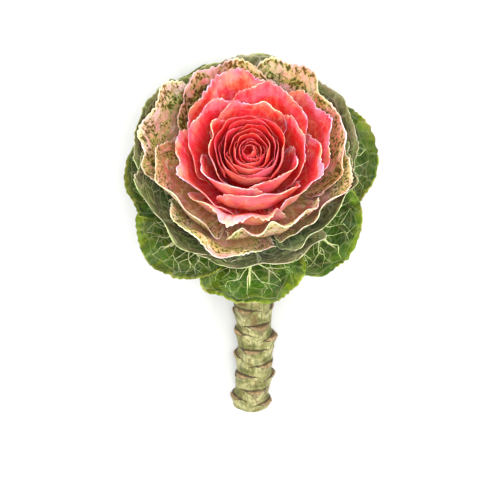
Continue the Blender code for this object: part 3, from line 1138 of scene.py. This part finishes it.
@dataclass
class LeafRing:
    """One colour of the head: its leaves, and the length of core they grow from.

    Each pair of numbers runs from the innermost leaf to the outermost.
    """

    name: str
    node: str
    slot: Slot
    layout: Layout
    count: int
    first: float
    core: tuple[Pair, ...]
    root_radius: Pair
    root_height: Pair
    rim_radius: Pair
    rim_height: Pair
    half_angle: Pair
    lip: Pair
    wave: Pair
    side_turn: float
    detail: Detail
    openness: Pair = (1.0, 1.0)
    bulge: Pair = (0.0, 0.0)
    spread: Pair = (0.0, 0.0)
    whorl: int = 1
    play: Play = Play()

    CORE_SIDES = 48
    GRADED = ("root_radius", "root_height", "rim_radius", "rim_height", "openness", "bulge",
              "lip", "wave")

    def _place(self, k: int) -> tuple[float, float]:
        """Return a leaf's bearing, and its share of the way out from the heart.

        Args:
            k: The leaf's number, from the innermost.

        Returns:
            The bearing in radians, and the share from 0 to 1.
        """
        if self.layout is Layout.WHORLS:
            tier, place = divmod(k, self.whorl)
            share = tier / (self.count / self.whorl - 1)
            return (place + 0.5 * tier) * TAU / self.whorl, share
        if self.layout is Layout.SPIRAL:
            return k * GOLDEN_ANGLE, k / (self.count - 1)
        return (k + 0.5) * TAU / self.count, 0.0

    def blades(self) -> list[Blade]:
        """Return the ring's leaves, placed as those of the CAD node are.

        Returns:
            The leaves, from the innermost to the outermost.
        """
        made = []
        collar, play = self.layout is Layout.COLLAR, self.play
        for k in range(self.count):
            draw = random.Random(f"collar {k}" if collar else f"{self.node} {k}")
            azimuth, share = self._place(k)
            azimuth += math.radians(self.first + draw.uniform(-3, 3))
            width = draw.uniform(*play.width)
            spread = 1.0 + lerp(*self.spread, share) * max(0.0, math.cos(azimuth))
            reach = draw.uniform(*play.reach) if play.reach else 1.0
            sizes = {key: lerp(*getattr(self, key), share) for key in self.GRADED}
            sizes["rim_radius"] = sizes["rim_radius"] * reach * spread
            sizes["rim_height"] += draw.uniform(*play.rise)
            made.append(Blade(
                azimuth=azimuth,
                half_angle=math.radians(lerp(*self.half_angle, share ** 0.8) * width),
                lean=draw.uniform(*play.lean), wave_count=draw.uniform(*play.waves),
                wave_phase=draw.uniform(0, TAU), side_turn=self.side_turn, detail=self.detail,
                seed=round(draw.uniform(1, 90), 3), age=share, collar=collar, **sizes))
        return made

    def core_shell(self) -> tuple[Array, Faces, Values]:
        """Return the turned core, as points, faces and attributes.

        Returns:
            The points in metres, the faces, and the attributes.
        """
        sides, levels = self.CORE_SIDES, len(self.core)
        bearings = np.tile(np.arange(sides) * TAU / sides, levels)
        radius, height = np.repeat(self.core, sides, axis=0).T
        local = np.column_stack((radius * np.cos(bearings), radius * np.sin(bearings), height))
        ends = np.array([[0.0, 0.0, self.core[0][1]], [0.0, 0.0, self.core[-1][1]]])
        local = np.concatenate((local, ends))
        bottom = levels * sides
        faces = tube(0, levels, sides, turned=True) + cap(0, sides, bottom)
        faces += cap(bottom - sides, sides, bottom + 1, turned=True)
        values = leaf_values(np.zeros(len(local)), local, local * 0.01, inner=1.0, rib=0.0,
                             rim=60.0, tone=0.3, age=0.5)
        return to_world(local), faces, values

    def build(self, finish: LeafFinish, effects: Effects) -> Object:
        """Build the ring as one piece that stands for its CAD node.

        Args:
            finish: The finish of its leaves.
            effects: The node groups that all the finishes share.

        Returns:
            The piece.
        """
        grid = SheetGrid(self.detail)
        data = MeshData(self.name)
        data.add(*self.core_shell())
        for blade in self.blades():
            points, values = grid.shell(blade)
            data.add(points, grid.faces, values)
        return seat(data.object(finish.material(effects)), self.slot, self.node)


# Stem


@dataclass
class Stem:
    """The stalk: a tube along its bent line, with its leaf scars."""

    top: float = -10.3 * MM
    radius: float = 11.3 * MM
    neck_radius: float = 10.6 * MM
    neck_length: float = 30 * MM
    bend_start: float = 3 * MM
    bend_radius: float = 42 * MM
    straight_length: float = 146 * MM
    end_slope: float = math.radians(2.0)
    side_sway: float = 3.0 * MM
    scar_pitch: float = 4.1 * MM
    scar_rise: float = 5.1 * MM
    scar_half_width: float = 7.0 * MM
    scar_step: float = 1.5 * MM
    scar_run: float = 6.4 * MM
    sides: int = 168
    rings: int = 400

    # The cut end's rings: their share of its radius, and how far they stand out in mm
    END_RINGS = ((0.965, 0.35), (0.90, 0.45), (0.80, 0.30), (0.62, 0.15), (0.40, -0.1),
                 (0.20, -0.3))
    END_DIP = 0.4 * MM

    @property
    def bend_length(self) -> float:
        """Length of the neck's arc."""
        return (HEAD_TILT - self.end_slope) * self.bend_radius

    @property
    def total(self) -> float:
        """Length of the stem's line."""
        return self.bend_start + self.bend_length + self.straight_length

    def line(self, length: Array) -> tuple[Array, Array]:
        """Return the centre and direction of the stem at lengths below the head.

        Args:
            length: Lengths down the stem from the head, in metres.

        Returns:
            The centres in metres, and the directions as unit vectors.
        """
        start = HEAD_BASE + HEAD_AXIS * self.top
        away = np.array((0.0, math.cos(HEAD_TILT), -math.sin(HEAD_TILT)))
        first = np.minimum(length, self.bend_start)[:, None]
        slope = HEAD_TILT - np.clip(
            length - self.bend_start, 0.0, self.bend_length) / self.bend_radius
        rest = np.maximum(0.0, length - self.bend_start - self.bend_length)[:, None]
        none = np.zeros_like(length)
        arc = self.bend_radius * np.column_stack((
            none, math.sin(HEAD_TILT) - np.sin(slope), math.cos(HEAD_TILT) - np.cos(slope)))
        direction = np.column_stack((none, np.cos(slope), -np.sin(slope)))
        place = start + away * first + arc + direction * rest
        place[:, 0] += self.side_sway * np.sin(TAU * length / self.total)
        return place, direction

    def scars(self) -> list[tuple[float, float, float]]:
        """Return each scar as its length down the stem, its bearing and its size.

        Returns:
            The scars, from the head down.
        """
        made = []
        for k in range(1, int(self.total / self.scar_pitch) + 6):
            draw = random.Random(f"scar {k}")
            shift = draw.uniform(-0.8, 0.8) * MM
            made.append((k * self.scar_pitch - shift, k * GOLDEN_ANGLE, draw.uniform(0.75, 1.1)))
        return made

    def relief(self, around: Array, length: Array) -> Values:
        """Return the surface's rise and the masks of its scars.

        Args:
            around: Bearing of each point.
            length: Its length down the stem.

        Returns:
            rise in metres, scar (the pale face), rind (its dark border) and hollow (the
            dip over it).
        """
        masks = {name: np.zeros_like(length) for name in ("rise", "scar", "rind", "hollow")}
        for centre, bearing, size in self.scars():
            down = length - centre
            turn = (around - bearing + math.pi) % TAU - math.pi
            across = turn * self.radius / self.scar_half_width
            near = (np.abs(down) < 40 * MM) & (np.abs(across) < 2.1)
            d, a = down[near], across[near]
            along = np.where(d > 0, np.exp(-d / self.scar_run), np.exp(-(d / self.scar_step) ** 2))
            swell = self.scar_rise * size * along * np.exp(-a ** 2 * 1.4)
            # The scar itself is a lens just over the ledge
            wide = np.clip(1.0 - (a / (1.05 * size)) ** 2, 0.0, 1.0)
            lens = np.abs(d - 0.1 * MM) / (1.8 * MM * size) - wide * 0.85
            inside = smooth(0.10, -0.22, lens) * (wide > 0.0)
            border = np.exp(-((lens - 0.06) / 0.24) ** 2) * (np.abs(a) < 1.25 * size)
            border *= np.where(d < 0.1 * MM, 1.0, 0.45 + 0.55 * smooth(0.45, 0.9, np.abs(a)))
            # A fine dark seam runs on from the lens, far round the stalk
            seam = np.exp(-((d + 1.2 * MM - 0.8 * MM * a ** 2) / (0.50 * MM)) ** 2)
            border = np.maximum(border, seam * smooth(2.05, 1.3, np.abs(a)))
            hollow = np.exp(-((d + 3.2 * MM) / (2.2 * MM)) ** 2) * np.exp(-a ** 2 * 1.2)
            for mask, value in zip(masks.values(), (swell - 0.45 * MM * inside, inside, border,
                                                    hollow)):
                mask[near] = np.maximum(mask[near], value)
        masks["rind"] *= 1.0 - 0.55 * masks["scar"]
        return masks

    def skin(self, around: Array, length: Array) -> tuple[Array, Values]:
        """Return points of the skin in the world, with the masks of their finish.

        Args:
            around: Bearing of each point.
            length: Its length down the stem.

        Returns:
            The points, and the masks scar, rind and hollow.
        """
        masks = self.relief(around, length)
        neck = np.clip(length / self.neck_length, 0.0, 1.0)
        grooves = value_noise(around * 6.0, length * 60.0, 3.0) * 0.28 * MM
        lumps = value_noise(around * 2.0, length * 110.0, 8.0) * 0.35 * MM
        out = (lerp(self.neck_radius, self.radius, neck) + masks.pop("rise") + grooves + lumps
               - 0.35 * MM * masks["hollow"])
        place, direction = self.line(length)
        up = unit(np.cross(HEAD_SIDE, direction))
        aside = np.cos(around)[:, None] * HEAD_SIDE + np.sin(around)[:, None] * up
        return above(place + aside * out[:, None]), masks

    def build(self, material: Material) -> Object:
        """Build the stalk as one piece that stands for its CAD node.

        Args:
            material: The stalk's finish.

        Returns:
            The piece.
        """
        sides = self.sides
        bearings = np.tile(np.arange(sides) * TAU / sides, self.rings + 1)
        lengths = np.repeat(np.linspace(0.0, self.total, self.rings + 1), sides)
        points, masks = self.skin(bearings, lengths)
        # The cut end is a worn edge, then a shallow dish round the pith
        centre, direction = self.line(np.array([self.total]))
        edge = points[-sides:] - centre
        added = np.concatenate((
            *[above(centre + edge * share + direction * push * MM)
              for share, push in self.END_RINGS],
            centre - direction * self.END_DIP, self.line(np.zeros(1))[0]))
        values = {key: np.append(mask, np.zeros(len(added))) for key, mask in masks.items()}
        end_shares = np.repeat([share for share, _ in self.END_RINGS], sides)
        values["cut"] = np.concatenate((np.zeros(len(points)), 1.0 + end_shares, (1.0, 0.0)))
        levels = self.rings + 1 + len(self.END_RINGS)
        tip = levels * sides
        faces = tube(0, levels, sides) + cap(tip - sides, sides, tip)
        faces += cap(0, sides, tip + 1, turned=True)
        data = MeshData("stalk")
        data.add(np.concatenate((points, added)), faces, values)
        return seat(data.object(material), Slot.STALK, "stem")


@dataclass(frozen=True)
class StalkFinish:
    """Pale green rind with tan scars, dark at their corners, and a cut end."""

    rind: Colour = (0.190, 0.185, 0.048)
    rind_pale: Colour = (0.430, 0.400, 0.180)
    rind_green: Colour = (0.066, 0.084, 0.012)
    stain: Colour = (0.140, 0.085, 0.026)
    scar: Colour = (0.270, 0.165, 0.070)
    scar_pale: Colour = (0.420, 0.310, 0.160)
    dark: Colour = (0.040, 0.020, 0.006)
    pith: Colour = (0.70, 0.68, 0.46)
    wood: Colour = (0.46, 0.46, 0.22)
    gloss: float = 0.35

    def material(self) -> Material:
        """Return the stalk's material.

        Returns:
            A new material, which reads the attributes scar, rind, hollow and cut.
        """
        made, net, shader = new_material("stalk")
        place = net.node("ShaderNodeTexCoord").outputs["Object"]
        long_place = net.vector("MULTIPLY", place, (1.0, 0.28, 1.0))
        patch = net.noise(place, scale=95.0, detail=4.0, rough=0.65, bend=0.5)
        streak = net.noise(long_place, scale=420.0, detail=3.0, rough=0.6)
        grain = net.noise(place, scale=900.0, detail=3.0, rough=0.65)
        spot = net.noise(place, 190.0, detail=4.0, rough=0.65, bend=0.6, shift=(3.0, 1.0, 2.0))
        colour = net.blend(net.band(patch, 0.40, 0.60), self.rind, self.rind_pale)
        colour = net.tint(colour, self.rind_green, net.band(streak, 0.46, 0.66), 0.7)
        colour = net.tint(colour, self.rind_green, net.read("hollow"), 0.75)
        colour = net.tint(colour, self.stain, net.band(spot, 0.52, 0.64), 0.85)
        tan = net.blend(net.band(grain, 0.4, 0.65), self.scar, self.scar_pale)
        tan = net.tint(tan, self.stain, net.band(spot, 0.44, 0.58), 0.6)
        colour = net.blend(net.read("scar"), colour, tan)
        dark = net.mul(net.read("rind"), net.band(spot, 0.30, 0.50, 0.45, 1.0))
        colour = net.tint(colour, self.dark, dark, 1.3)
        cut = net.read("cut")
        inside = net.blend(net.band(cut, 1.62, 1.84), self.pith, self.wood)
        inside = net.tint(inside, self.scar_pale, net.band(grain, 0.45, 0.6), 0.35)
        relief = net.total((streak, 0.6), (grain, 0.4), (spot, 0.6))
        net.fill(shader, {
            "Base Color": net.blend(net.band(cut, 0.5, 1.0), colour, inside),
            "Roughness": net.line(grain, 0.25, 0.42),
            "Normal": net.bump(relief, 0.85, 1.4 * MM),
            "Specular IOR Level": self.gloss,
        })
        return made


# Veins that stand out


@dataclass
class VeinCords:
    """Veins that stand out of a ring's leaves, as tapered cords made by nodes."""

    name: str
    ring: LeafRing
    root_size: float = 2.6
    tip_size: float = 0.35
    front: bool = False      # on the face towards the heart, where they barely show
    sides: int = 8
    points: int = 22

    LOWEST = 0.2 * MM

    def path(self, blade: Blade, vein: Vein) -> tuple[Array, Array, Array]:
        """Return one vein's points in the world, their radii in metres and their t.

        Args:
            blade: The leaf.
            vein: One of its veins.

        Returns:
            The three, from the vein's start to its end.
        """
        t = np.linspace(vein.start, vein.end, self.points)
        wobble = value_noise(t * 13.0, 0.0, blade.seed + 50.0 * vein.drift) * 0.045
        wobble *= np.clip((t - vein.start) * 8.0, 0.0, 1.0)
        s = np.clip(vein.where(t) + wobble, -0.96, 0.96)
        taper = (1.0 - t) ** (1.0 if self.front else 1.4)
        size = lerp(self.tip_size, self.root_size, taper) * (0.35 + 0.65 * vein.weight)
        size = size * (1.0 - 0.7 * smooth(vein.end - 0.25, vein.end, t))
        half = blade.half_thickness(t) / MM
        sink = 0.55 * size - half if self.front else 0.6 * half
        line = blade.middle(s, t, np.zeros_like(s)) + blade.normal(s, t) * (sink * MM)[:, None]
        return above(line, self.LOWEST), size * MM, t

    def mesh(self) -> bpy.types.Mesh:
        """Return all the veins as paths, with the attributes of their leaves.

        Returns:
            The new mesh.
        """
        veins = [(blade, vein) for blade in self.ring.blades() for vein in blade.veins()
                 if self.front or vein.weight >= LIGHT_VEIN]
        parts = zip(*(self.path(blade, vein) for blade, vein in veins))
        places, sizes, depth = (np.concatenate(part) for part in parts)
        seeds = np.repeat([blade.seed for blade, _ in veins], self.points)
        starts = range(0, len(places), self.points)
        edges = [(k, k + 1) for start in starts for k in range(start, start + self.points - 1)]
        made = bpy.data.meshes.new(self.name)
        made.from_pydata(places.tolist(), edges, [])
        zero = np.zeros(len(places))
        flat = np.column_stack((zero, depth * 60.0, seeds * SEED_STEP))
        fan = np.column_stack((zero + 0.5, depth, seeds))
        set_values(made, {"rib_size": sizes, **leaf_values(
            depth, flat, fan, inner=0.0, rib=1.0, rim=30.0, tone=0.5, age=0.5)})
        return made

    def tree(self) -> Tree:
        """Return the node tree that turns the paths into tapered cords.

        Returns:
            The tree, with the inputs Paths, Sides, Thickness and Finish.
        """
        tree = bpy.data.node_groups.new("Tapered ribs", "GeometryNodeTree")
        for name, kind in (("Paths", "Geometry"), ("Sides", "Int"), ("Thickness", "Float"),
                           ("Finish", "Material")):
            tree.interface.new_socket(name, in_out="INPUT", socket_type=f"NodeSocket{kind}")
        tree.interface.new_socket("Ribs", in_out="OUTPUT", socket_type="NodeSocketGeometry")
        net = Net(tree)
        given, result = net.node("NodeGroupInput").outputs, net.node("NodeGroupOutput").inputs
        size = net.node("GeometryNodeInputNamedAttribute", {"Name": "rib_size"},
                        data_type="FLOAT").outputs[0]
        size = net.mul(size, given["Thickness"])
        ring = net.node("GeometryNodeCurvePrimitiveCircle",
                        {"Resolution": given["Sides"], "Radius": 1.0}).outputs[0]
        shape = net.node("GeometryNodeMeshToCurve", {0: given["Paths"]}).outputs[0]
        for kind, inputs in (
                ("GeometryNodeSetCurveRadius", {"Radius": size}),
                ("GeometryNodeCurveToMesh", {"Profile Curve": ring, "Fill Caps": True}),
                ("GeometryNodeSetShadeSmooth", {}),
                ("GeometryNodeRealizeInstances", {}),
                ("GeometryNodeSetMaterial", {"Material": given["Finish"]})):
            made = net.node(kind, {0: shape, **inputs})
            if "Scale" in made.inputs:
                net.feed(made.inputs["Scale"], size)
            shape = made.outputs[0]
        net.feed(result[0], shape)
        return tree

    def build(self, material: Material, slot: Slot) -> Object:
        """Build the ring's veins as one plain mesh, with its finish and its slot.

        Args:
            material: The finish of the ring's leaves.
            slot: The ring's slot.

        Returns:
            The piece.
        """
        obj = run_tree(self.name, self.mesh(), self.tree(), {
            "Sides": self.sides, "Thickness": 1.0, "Finish": material})
        return seat(obj, slot)


def run_tree(name: str, mesh: bpy.types.Mesh, tree: Tree, inputs: dict[str, object]) -> Object:
    """Run a geometry tree on a mesh and keep the result as a plain mesh.

    Args:
        name: Name of the piece.
        mesh: What the tree is given.
        tree: The tree.
        inputs: Its inputs, by their names.

    Returns:
        The finished object, at the origin, with no modifier left on it.
    """
    obj = add_object(name, mesh)
    nodes = obj.modifiers.new("form", "NODES")
    nodes.node_group = tree
    sockets = {item.name: item.identifier for item in tree.interface.items_tree
               if item.item_type == "SOCKET" and item.in_out == "INPUT"}
    for key, value in inputs.items():
        nodes[sockets[key]] = value
    graph = bpy.context.evaluated_depsgraph_get()
    made = bpy.data.meshes.new_from_object(obj.evaluated_get(graph))
    obj.modifiers.remove(nodes)
    obj.data = made
    made.name = name
    return obj


# Light and camera


@dataclass
class Studio:
    """A plain pale floor, soft light and a camera that looks down on the head."""

    target: Place = (0.0, 0.004, 0.035)
    elevation: float = 61.0
    distance: float = 1.10
    lens: float = 122.0
    lit_place: Place = (0.0, -0.03, 0.05)
    floor_half: float = 3.0
    floor_drop: float = 0.2 * MM
    floor_shade: Colour = (0.62, 0.62, 0.615)
    surroundings: float = 0.46

    # Each lamp's place, size in metres and power in watts
    LAMPS = {
        "key": ((-0.10, -0.75, 1.30), 0.50, 17.0),
        "side": ((0.90, -0.40, 0.85), 0.70, 12.5),
        "other_side": ((-0.90, -0.40, 0.85), 0.70, 13.5),
        "stem_side": ((-0.10, 1.20, 0.60), 1.00, 14.0),
    }

    def floor(self) -> None:
        """Lay the floor."""
        mesh = bpy.data.meshes.new("floor")
        half = self.floor_half
        mesh.from_pydata([(-half, -half, 0), (half, -half, 0), (half, half, 0), (-half, half, 0)],
                         [], [(0, 1, 2, 3)])
        material, net, shader = new_material("floor")
        net.fill(shader, {"Base Color": (*self.floor_shade, 1.0), "Roughness": 0.9})
        mesh.materials.append(material)
        obj = add_object("floor", mesh)
        obj.location.z = -self.floor_drop

    def lights(self) -> None:
        """Add the lamps, which face the head, and the pale surroundings."""
        for name, (place, size, power) in self.LAMPS.items():
            data = bpy.data.lights.new(name, "AREA")
            data.size, data.energy = size, power
            obj = add_object(name, data)
            obj.location = place
            aim = Vector(self.lit_place) - Vector(place)
            obj.rotation_euler = aim.to_track_quat("-Z", "Y").to_euler()
        world = bpy.data.worlds.new("surroundings")
        world.use_nodes = True
        Net(world.node_tree).fill(world.node_tree.nodes["Background"], {
            "Color": (1.0, 1.0, 1.0, 1.0), "Strength": self.surroundings})
        bpy.context.scene.world = world
        bpy.context.scene.view_settings.view_transform = "Standard"

    def camera(self) -> None:
        """Add the camera: over the head, turned so that the stem points down."""
        data = bpy.data.cameras.new("camera")
        data.lens = self.lens
        obj = add_object("camera", data)
        rise = math.radians(self.elevation)
        back = Vector((0.0, -math.cos(rise), math.sin(rise)))
        obj.location = Vector(self.target) + back * self.distance
        upright = (-back).to_track_quat("-Z", "Y").to_matrix()
        obj.rotation_euler = (upright @ Matrix.Rotation(math.pi, 3, "Z")).to_euler()
        bpy.context.scene.camera = obj


# The whole part


HEART = LeafRing(
    name="heart", node="heart_leaves", slot=Slot.HEART, layout=Layout.SPIRAL,
    count=18, first=150.0,
    core=((6.6, 24.15), (12.8, 35.0), (17.2, 45.0), (14.5, 52.5), (9.5, 58.0), (4.0, 62.0)),
    root_radius=(1.4, 17.0), root_height=(60.0, 48.5), rim_radius=(2.2, 21.0),
    rim_height=(73.0, 80.0), half_angle=(112.0, 72.0), openness=(0.0, 0.15),
    bulge=(2.0, 1.5), lip=(0.0, 0.8), wave=(0.1, 0.4), side_turn=0.2,
    detail=Detail(columns=72, rows=18, margin_rows=4, ruffle=0.7, frill=0.6, frill_count=7.0,
                  tooth_pitch=1.7, rib=0.15, pucker=0.15, root_half=0.40, margin_half=0.13),
)
ROSE = LeafRing(
    name="rose_leaves_fine", node="rose_leaves", slot=Slot.ROSE, layout=Layout.SPIRAL,
    count=13, first=0.0, core=((10.0, 12.15), (9.0, 23.85)),
    root_radius=(7.0, 6.5), root_height=(22.4, 13.4), rim_radius=(24.5, 50.0),
    rim_height=(81.5, 75.5), half_angle=(68.0, 48.0), openness=(0.75, 1.0), spread=(0.0, 0.05),
    bulge=(1.0, 0.0), lip=(1.0, 5.0), wave=(0.6, 1.4), side_turn=0.8,
    detail=Detail(rows=24, ruffle=2.3, frill=1.3, tooth=1.3, tooth_pitch=2.2, lobe=2.2,
                  pucker=0.35, roll=5.5),
)
MOTTLED = LeafRing(
    name="mottled_leaves_fine", node="mottled_leaves", slot=Slot.MOTTLED,
    layout=Layout.WHORLS, whorl=4, count=8, first=20.0, core=((10.5, 4.15), (10.0, 11.85)),
    root_radius=(8.0, 8.0), root_height=(10.2, 6.0), rim_radius=(56.0, 61.5),
    rim_height=(72.5, 66.0), half_angle=(44.0, 43.0), spread=(0.07, 0.09), lip=(5.0, 6.5),
    wave=(1.1, 1.6), side_turn=0.6,
    detail=Detail(columns=104, rows=26, ruffle=2.4, frill=1.8, frill_count=10.0, tooth=1.1,
                  tooth_pitch=2.5, lobe=2.2, rib=0.4, pucker=0.5, roll=1.5),
)
CUP = LeafRing(
    name="cup_leaves_fine", node="cup_leaves", slot=Slot.CUP, layout=Layout.WHORLS, whorl=3,
    count=6, first=35.0, core=((10.8, -1.85), (10.5, 3.85)),
    root_radius=(8.0, 8.0), root_height=(2.4, -1.0), rim_radius=(64.8, 67.2),
    rim_height=(61.5, 54.0), half_angle=(50.0, 47.0), spread=(0.09, 0.09), lip=(4.5, 4.5),
    wave=(0.8, 1.2), side_turn=0.6,
    detail=Detail(columns=112, rows=28, ruffle=2.0, frill=1.5, frill_count=10.0, tooth=0.9,
                  tooth_pitch=2.8, lobe=2.2, rib=0.5, pucker=0.7, veins=Venation.PINNATE),
)
COLLAR = LeafRing(
    name="collar_leaves_fine", node="collar_leaves", slot=Slot.COLLAR, layout=Layout.COLLAR,
    count=7, first=-90.0, core=((11.2, -10.0), (10.8, -2.15)),
    root_radius=(8.5, 8.5), root_height=(-6.0, -6.0), rim_radius=(84.0, 84.0),
    rim_height=(14.0, 14.0), half_angle=(34.0, 34.0), lip=(0.0, 0.0), wave=(2.2, 2.2),
    side_turn=0.0,
    play=Play(width=(0.96, 1.04), reach=(0.92, 1.0), rise=(-1, 1), lean=(-0.04, 0.04),
              waves=(2.6, 3.6)),
    detail=Detail(columns=112, rows=36, margin_rows=7, crowding=1.3, ruffle=3.0, frill=2.2,
                  frill_count=11.0, tooth=0.9, tooth_pitch=3.0, lobe=3.4, rib=0.3, pucker=1.1,
                  pucker_size=6.5, root_half=0.9, veins=Venation.PINNATE),
)

# The heart's inner face is darker than its outer face, partly its own deeper red and partly
# painted shade, as that face shows on the head's lower side.
HEART_FINISH = LeafFinish(
    name="heart_leaf", inner=(0.72, 0.010, 0.018), inner_old=(0.90, 0.036, 0.044),
    inner_deep_and_shade=(0.55, 0.002, 0.006), outer=(0.92, 0.075, 0.088), outer_old=(0.96, 0.230, 0.220),
    outer_root=(0.66, 0.006, 0.014), rib=(0.88, 0.12, 0.12), vein=(0.84, 0.08, 0.08),
    glow=(0.92, 0.120, 0.125), edge=(0.95, 0.36, 0.34), band=1.6, band_old=5.0,
    glow_share=0.50, edge_share=0.4, edge_width=0.6, rib_share=0.12, patch_share=0.25,
    vein_relief=0.05, tone_swing=0.2, hue_swing=0.18, gloss=0.06, main_share=0.12, through=0.7)
ROSE_FINISH = LeafFinish(
    name="rose_leaf", inner=(0.88, 0.026, 0.036), inner_old=(0.90, 0.064, 0.066),
    inner_deep_and_shade=(0.84, 0.014, 0.020), outer=(0.94, 0.190, 0.175), outer_old=(0.95, 0.430, 0.300),
    outer_root=(0.84, 0.330, 0.115), rib=(0.95, 0.34, 0.28), vein=(0.92, 0.24, 0.20),
    glow=(0.95, 0.400, 0.370), edge=(0.96, 0.74, 0.70), band=4.5, band_old=13.0,
    glow_share=0.95, edge_share=0.75, edge_width=0.9, rib_share=0.22, patch_share=0.45,
    vein_share=0.14, vein_cell=5.0, root_reach=0.55, tone_swing=0.32, pale_light_swing=0.9,
    hue_swing=0.22, main_share=0.25, gloss=0.12, through=0.7)
MOTTLED_FINISH = LeafFinish(
    name="mottled_leaf", inner=(0.86, 0.27, 0.24), inner_old=(0.86, 0.47, 0.35),
    inner_deep_and_shade=(0.40, 0.205, 0.055), outer=(0.78, 0.56, 0.30), outer_old=(0.62, 0.56, 0.29),
    outer_root=(0.46, 0.38, 0.11), rib=(0.92, 0.62, 0.47), vein=(0.86, 0.36, 0.32),
    glow=(0.90, 0.76, 0.58), edge=(0.86, 0.80, 0.58), band=8.0, band_old=15.0,
    glow_share=0.90, edge_share=0.6, rib_share=0.26, patch_share=0.7, root_reach=0.8,
    speck_amount=1.3, deep_shade_reach=0.88, deep_shade_swing=0.44, tone_swing=0.42, pale_light_swing=1.1,
    hue_swing=0.15, main_share=0.4, vein_share=0.30, vein_cell=6.0, gloss=0.14, through=0.4)
CUP_FINISH = LeafFinish(
    name="cup_leaf", inner=(0.090, 0.145, 0.036), inner_old=(0.085, 0.140, 0.036),
    inner_deep_and_shade=(0.022, 0.045, 0.012), outer=(0.120, 0.180, 0.072),
    outer_old=(0.110, 0.165, 0.068), outer_root=(0.28, 0.35, 0.16), rib=(0.32, 0.39, 0.18),
    vein=(0.62, 0.67, 0.40), glow=(0.42, 0.47, 0.22), edge=(0.80, 0.75, 0.48), band=3.5,
    glow_share=0.75, edge_share=0.6, rib_share=0.10, patch_share=0.85, vein_share=0.60,
    vein_cell=7.5, vein_width=0.6, tone_swing=0.3, hue_swing=0.12, bloom=0.14, roughness=0.55,
    gloss=0.2, through=0.15)
COLLAR_FINISH = LeafFinish(
    name="collar_leaf", inner=(0.026, 0.068, 0.003), inner_old=(0.026, 0.068, 0.003),
    inner_deep_and_shade=(0.006, 0.024, 0.002), outer=(0.150, 0.195, 0.062),
    outer_old=(0.150, 0.195, 0.062), outer_root=(0.30, 0.35, 0.13), rib=(0.08, 0.15, 0.01),
    vein=(0.66, 0.69, 0.32), glow=(0.13, 0.19, 0.006), edge=(0.40, 0.43, 0.07), band=4.0,
    glow_share=0.80, edge_share=0.6, rib_share=0.04, patch_share=0.30, vein_share=0.12,
    vein_width=0.6, roughness=0.44, bump=0.9, hue_swing=0.15, gloss=0.15, through=0.1)


def main() -> None:
    """Build the stem's pieces in order, with the studio round them."""
    logging.basicConfig(level=logging.INFO, format="%(name)s: %(message)s")
    effects = Effects()
    Stem().build(StalkFinish().material())
    HEART.build(HEART_FINISH, effects)
    ROSE.build(ROSE_FINISH, effects)
    MOTTLED.build(MOTTLED_FINISH, effects)
    cup = CUP.build(CUP_FINISH, effects).data.materials[0]
    collar = COLLAR.build(COLLAR_FINISH, effects).data.materials[0]
    VeinCords("cup_ribs", CUP, root_size=1.9).build(cup, Slot.CUP)
    VeinCords("collar_ribs", COLLAR, root_size=2.8).build(collar, Slot.COLLAR)
    VeinCords("collar_veins", COLLAR, root_size=1.35, tip_size=0.40, front=True, sides=6,
              points=20).build(collar, Slot.COLLAR)
    studio = Studio()
    studio.floor()
    studio.lights()
    studio.camera()


if __name__ == "__main__":
    main()
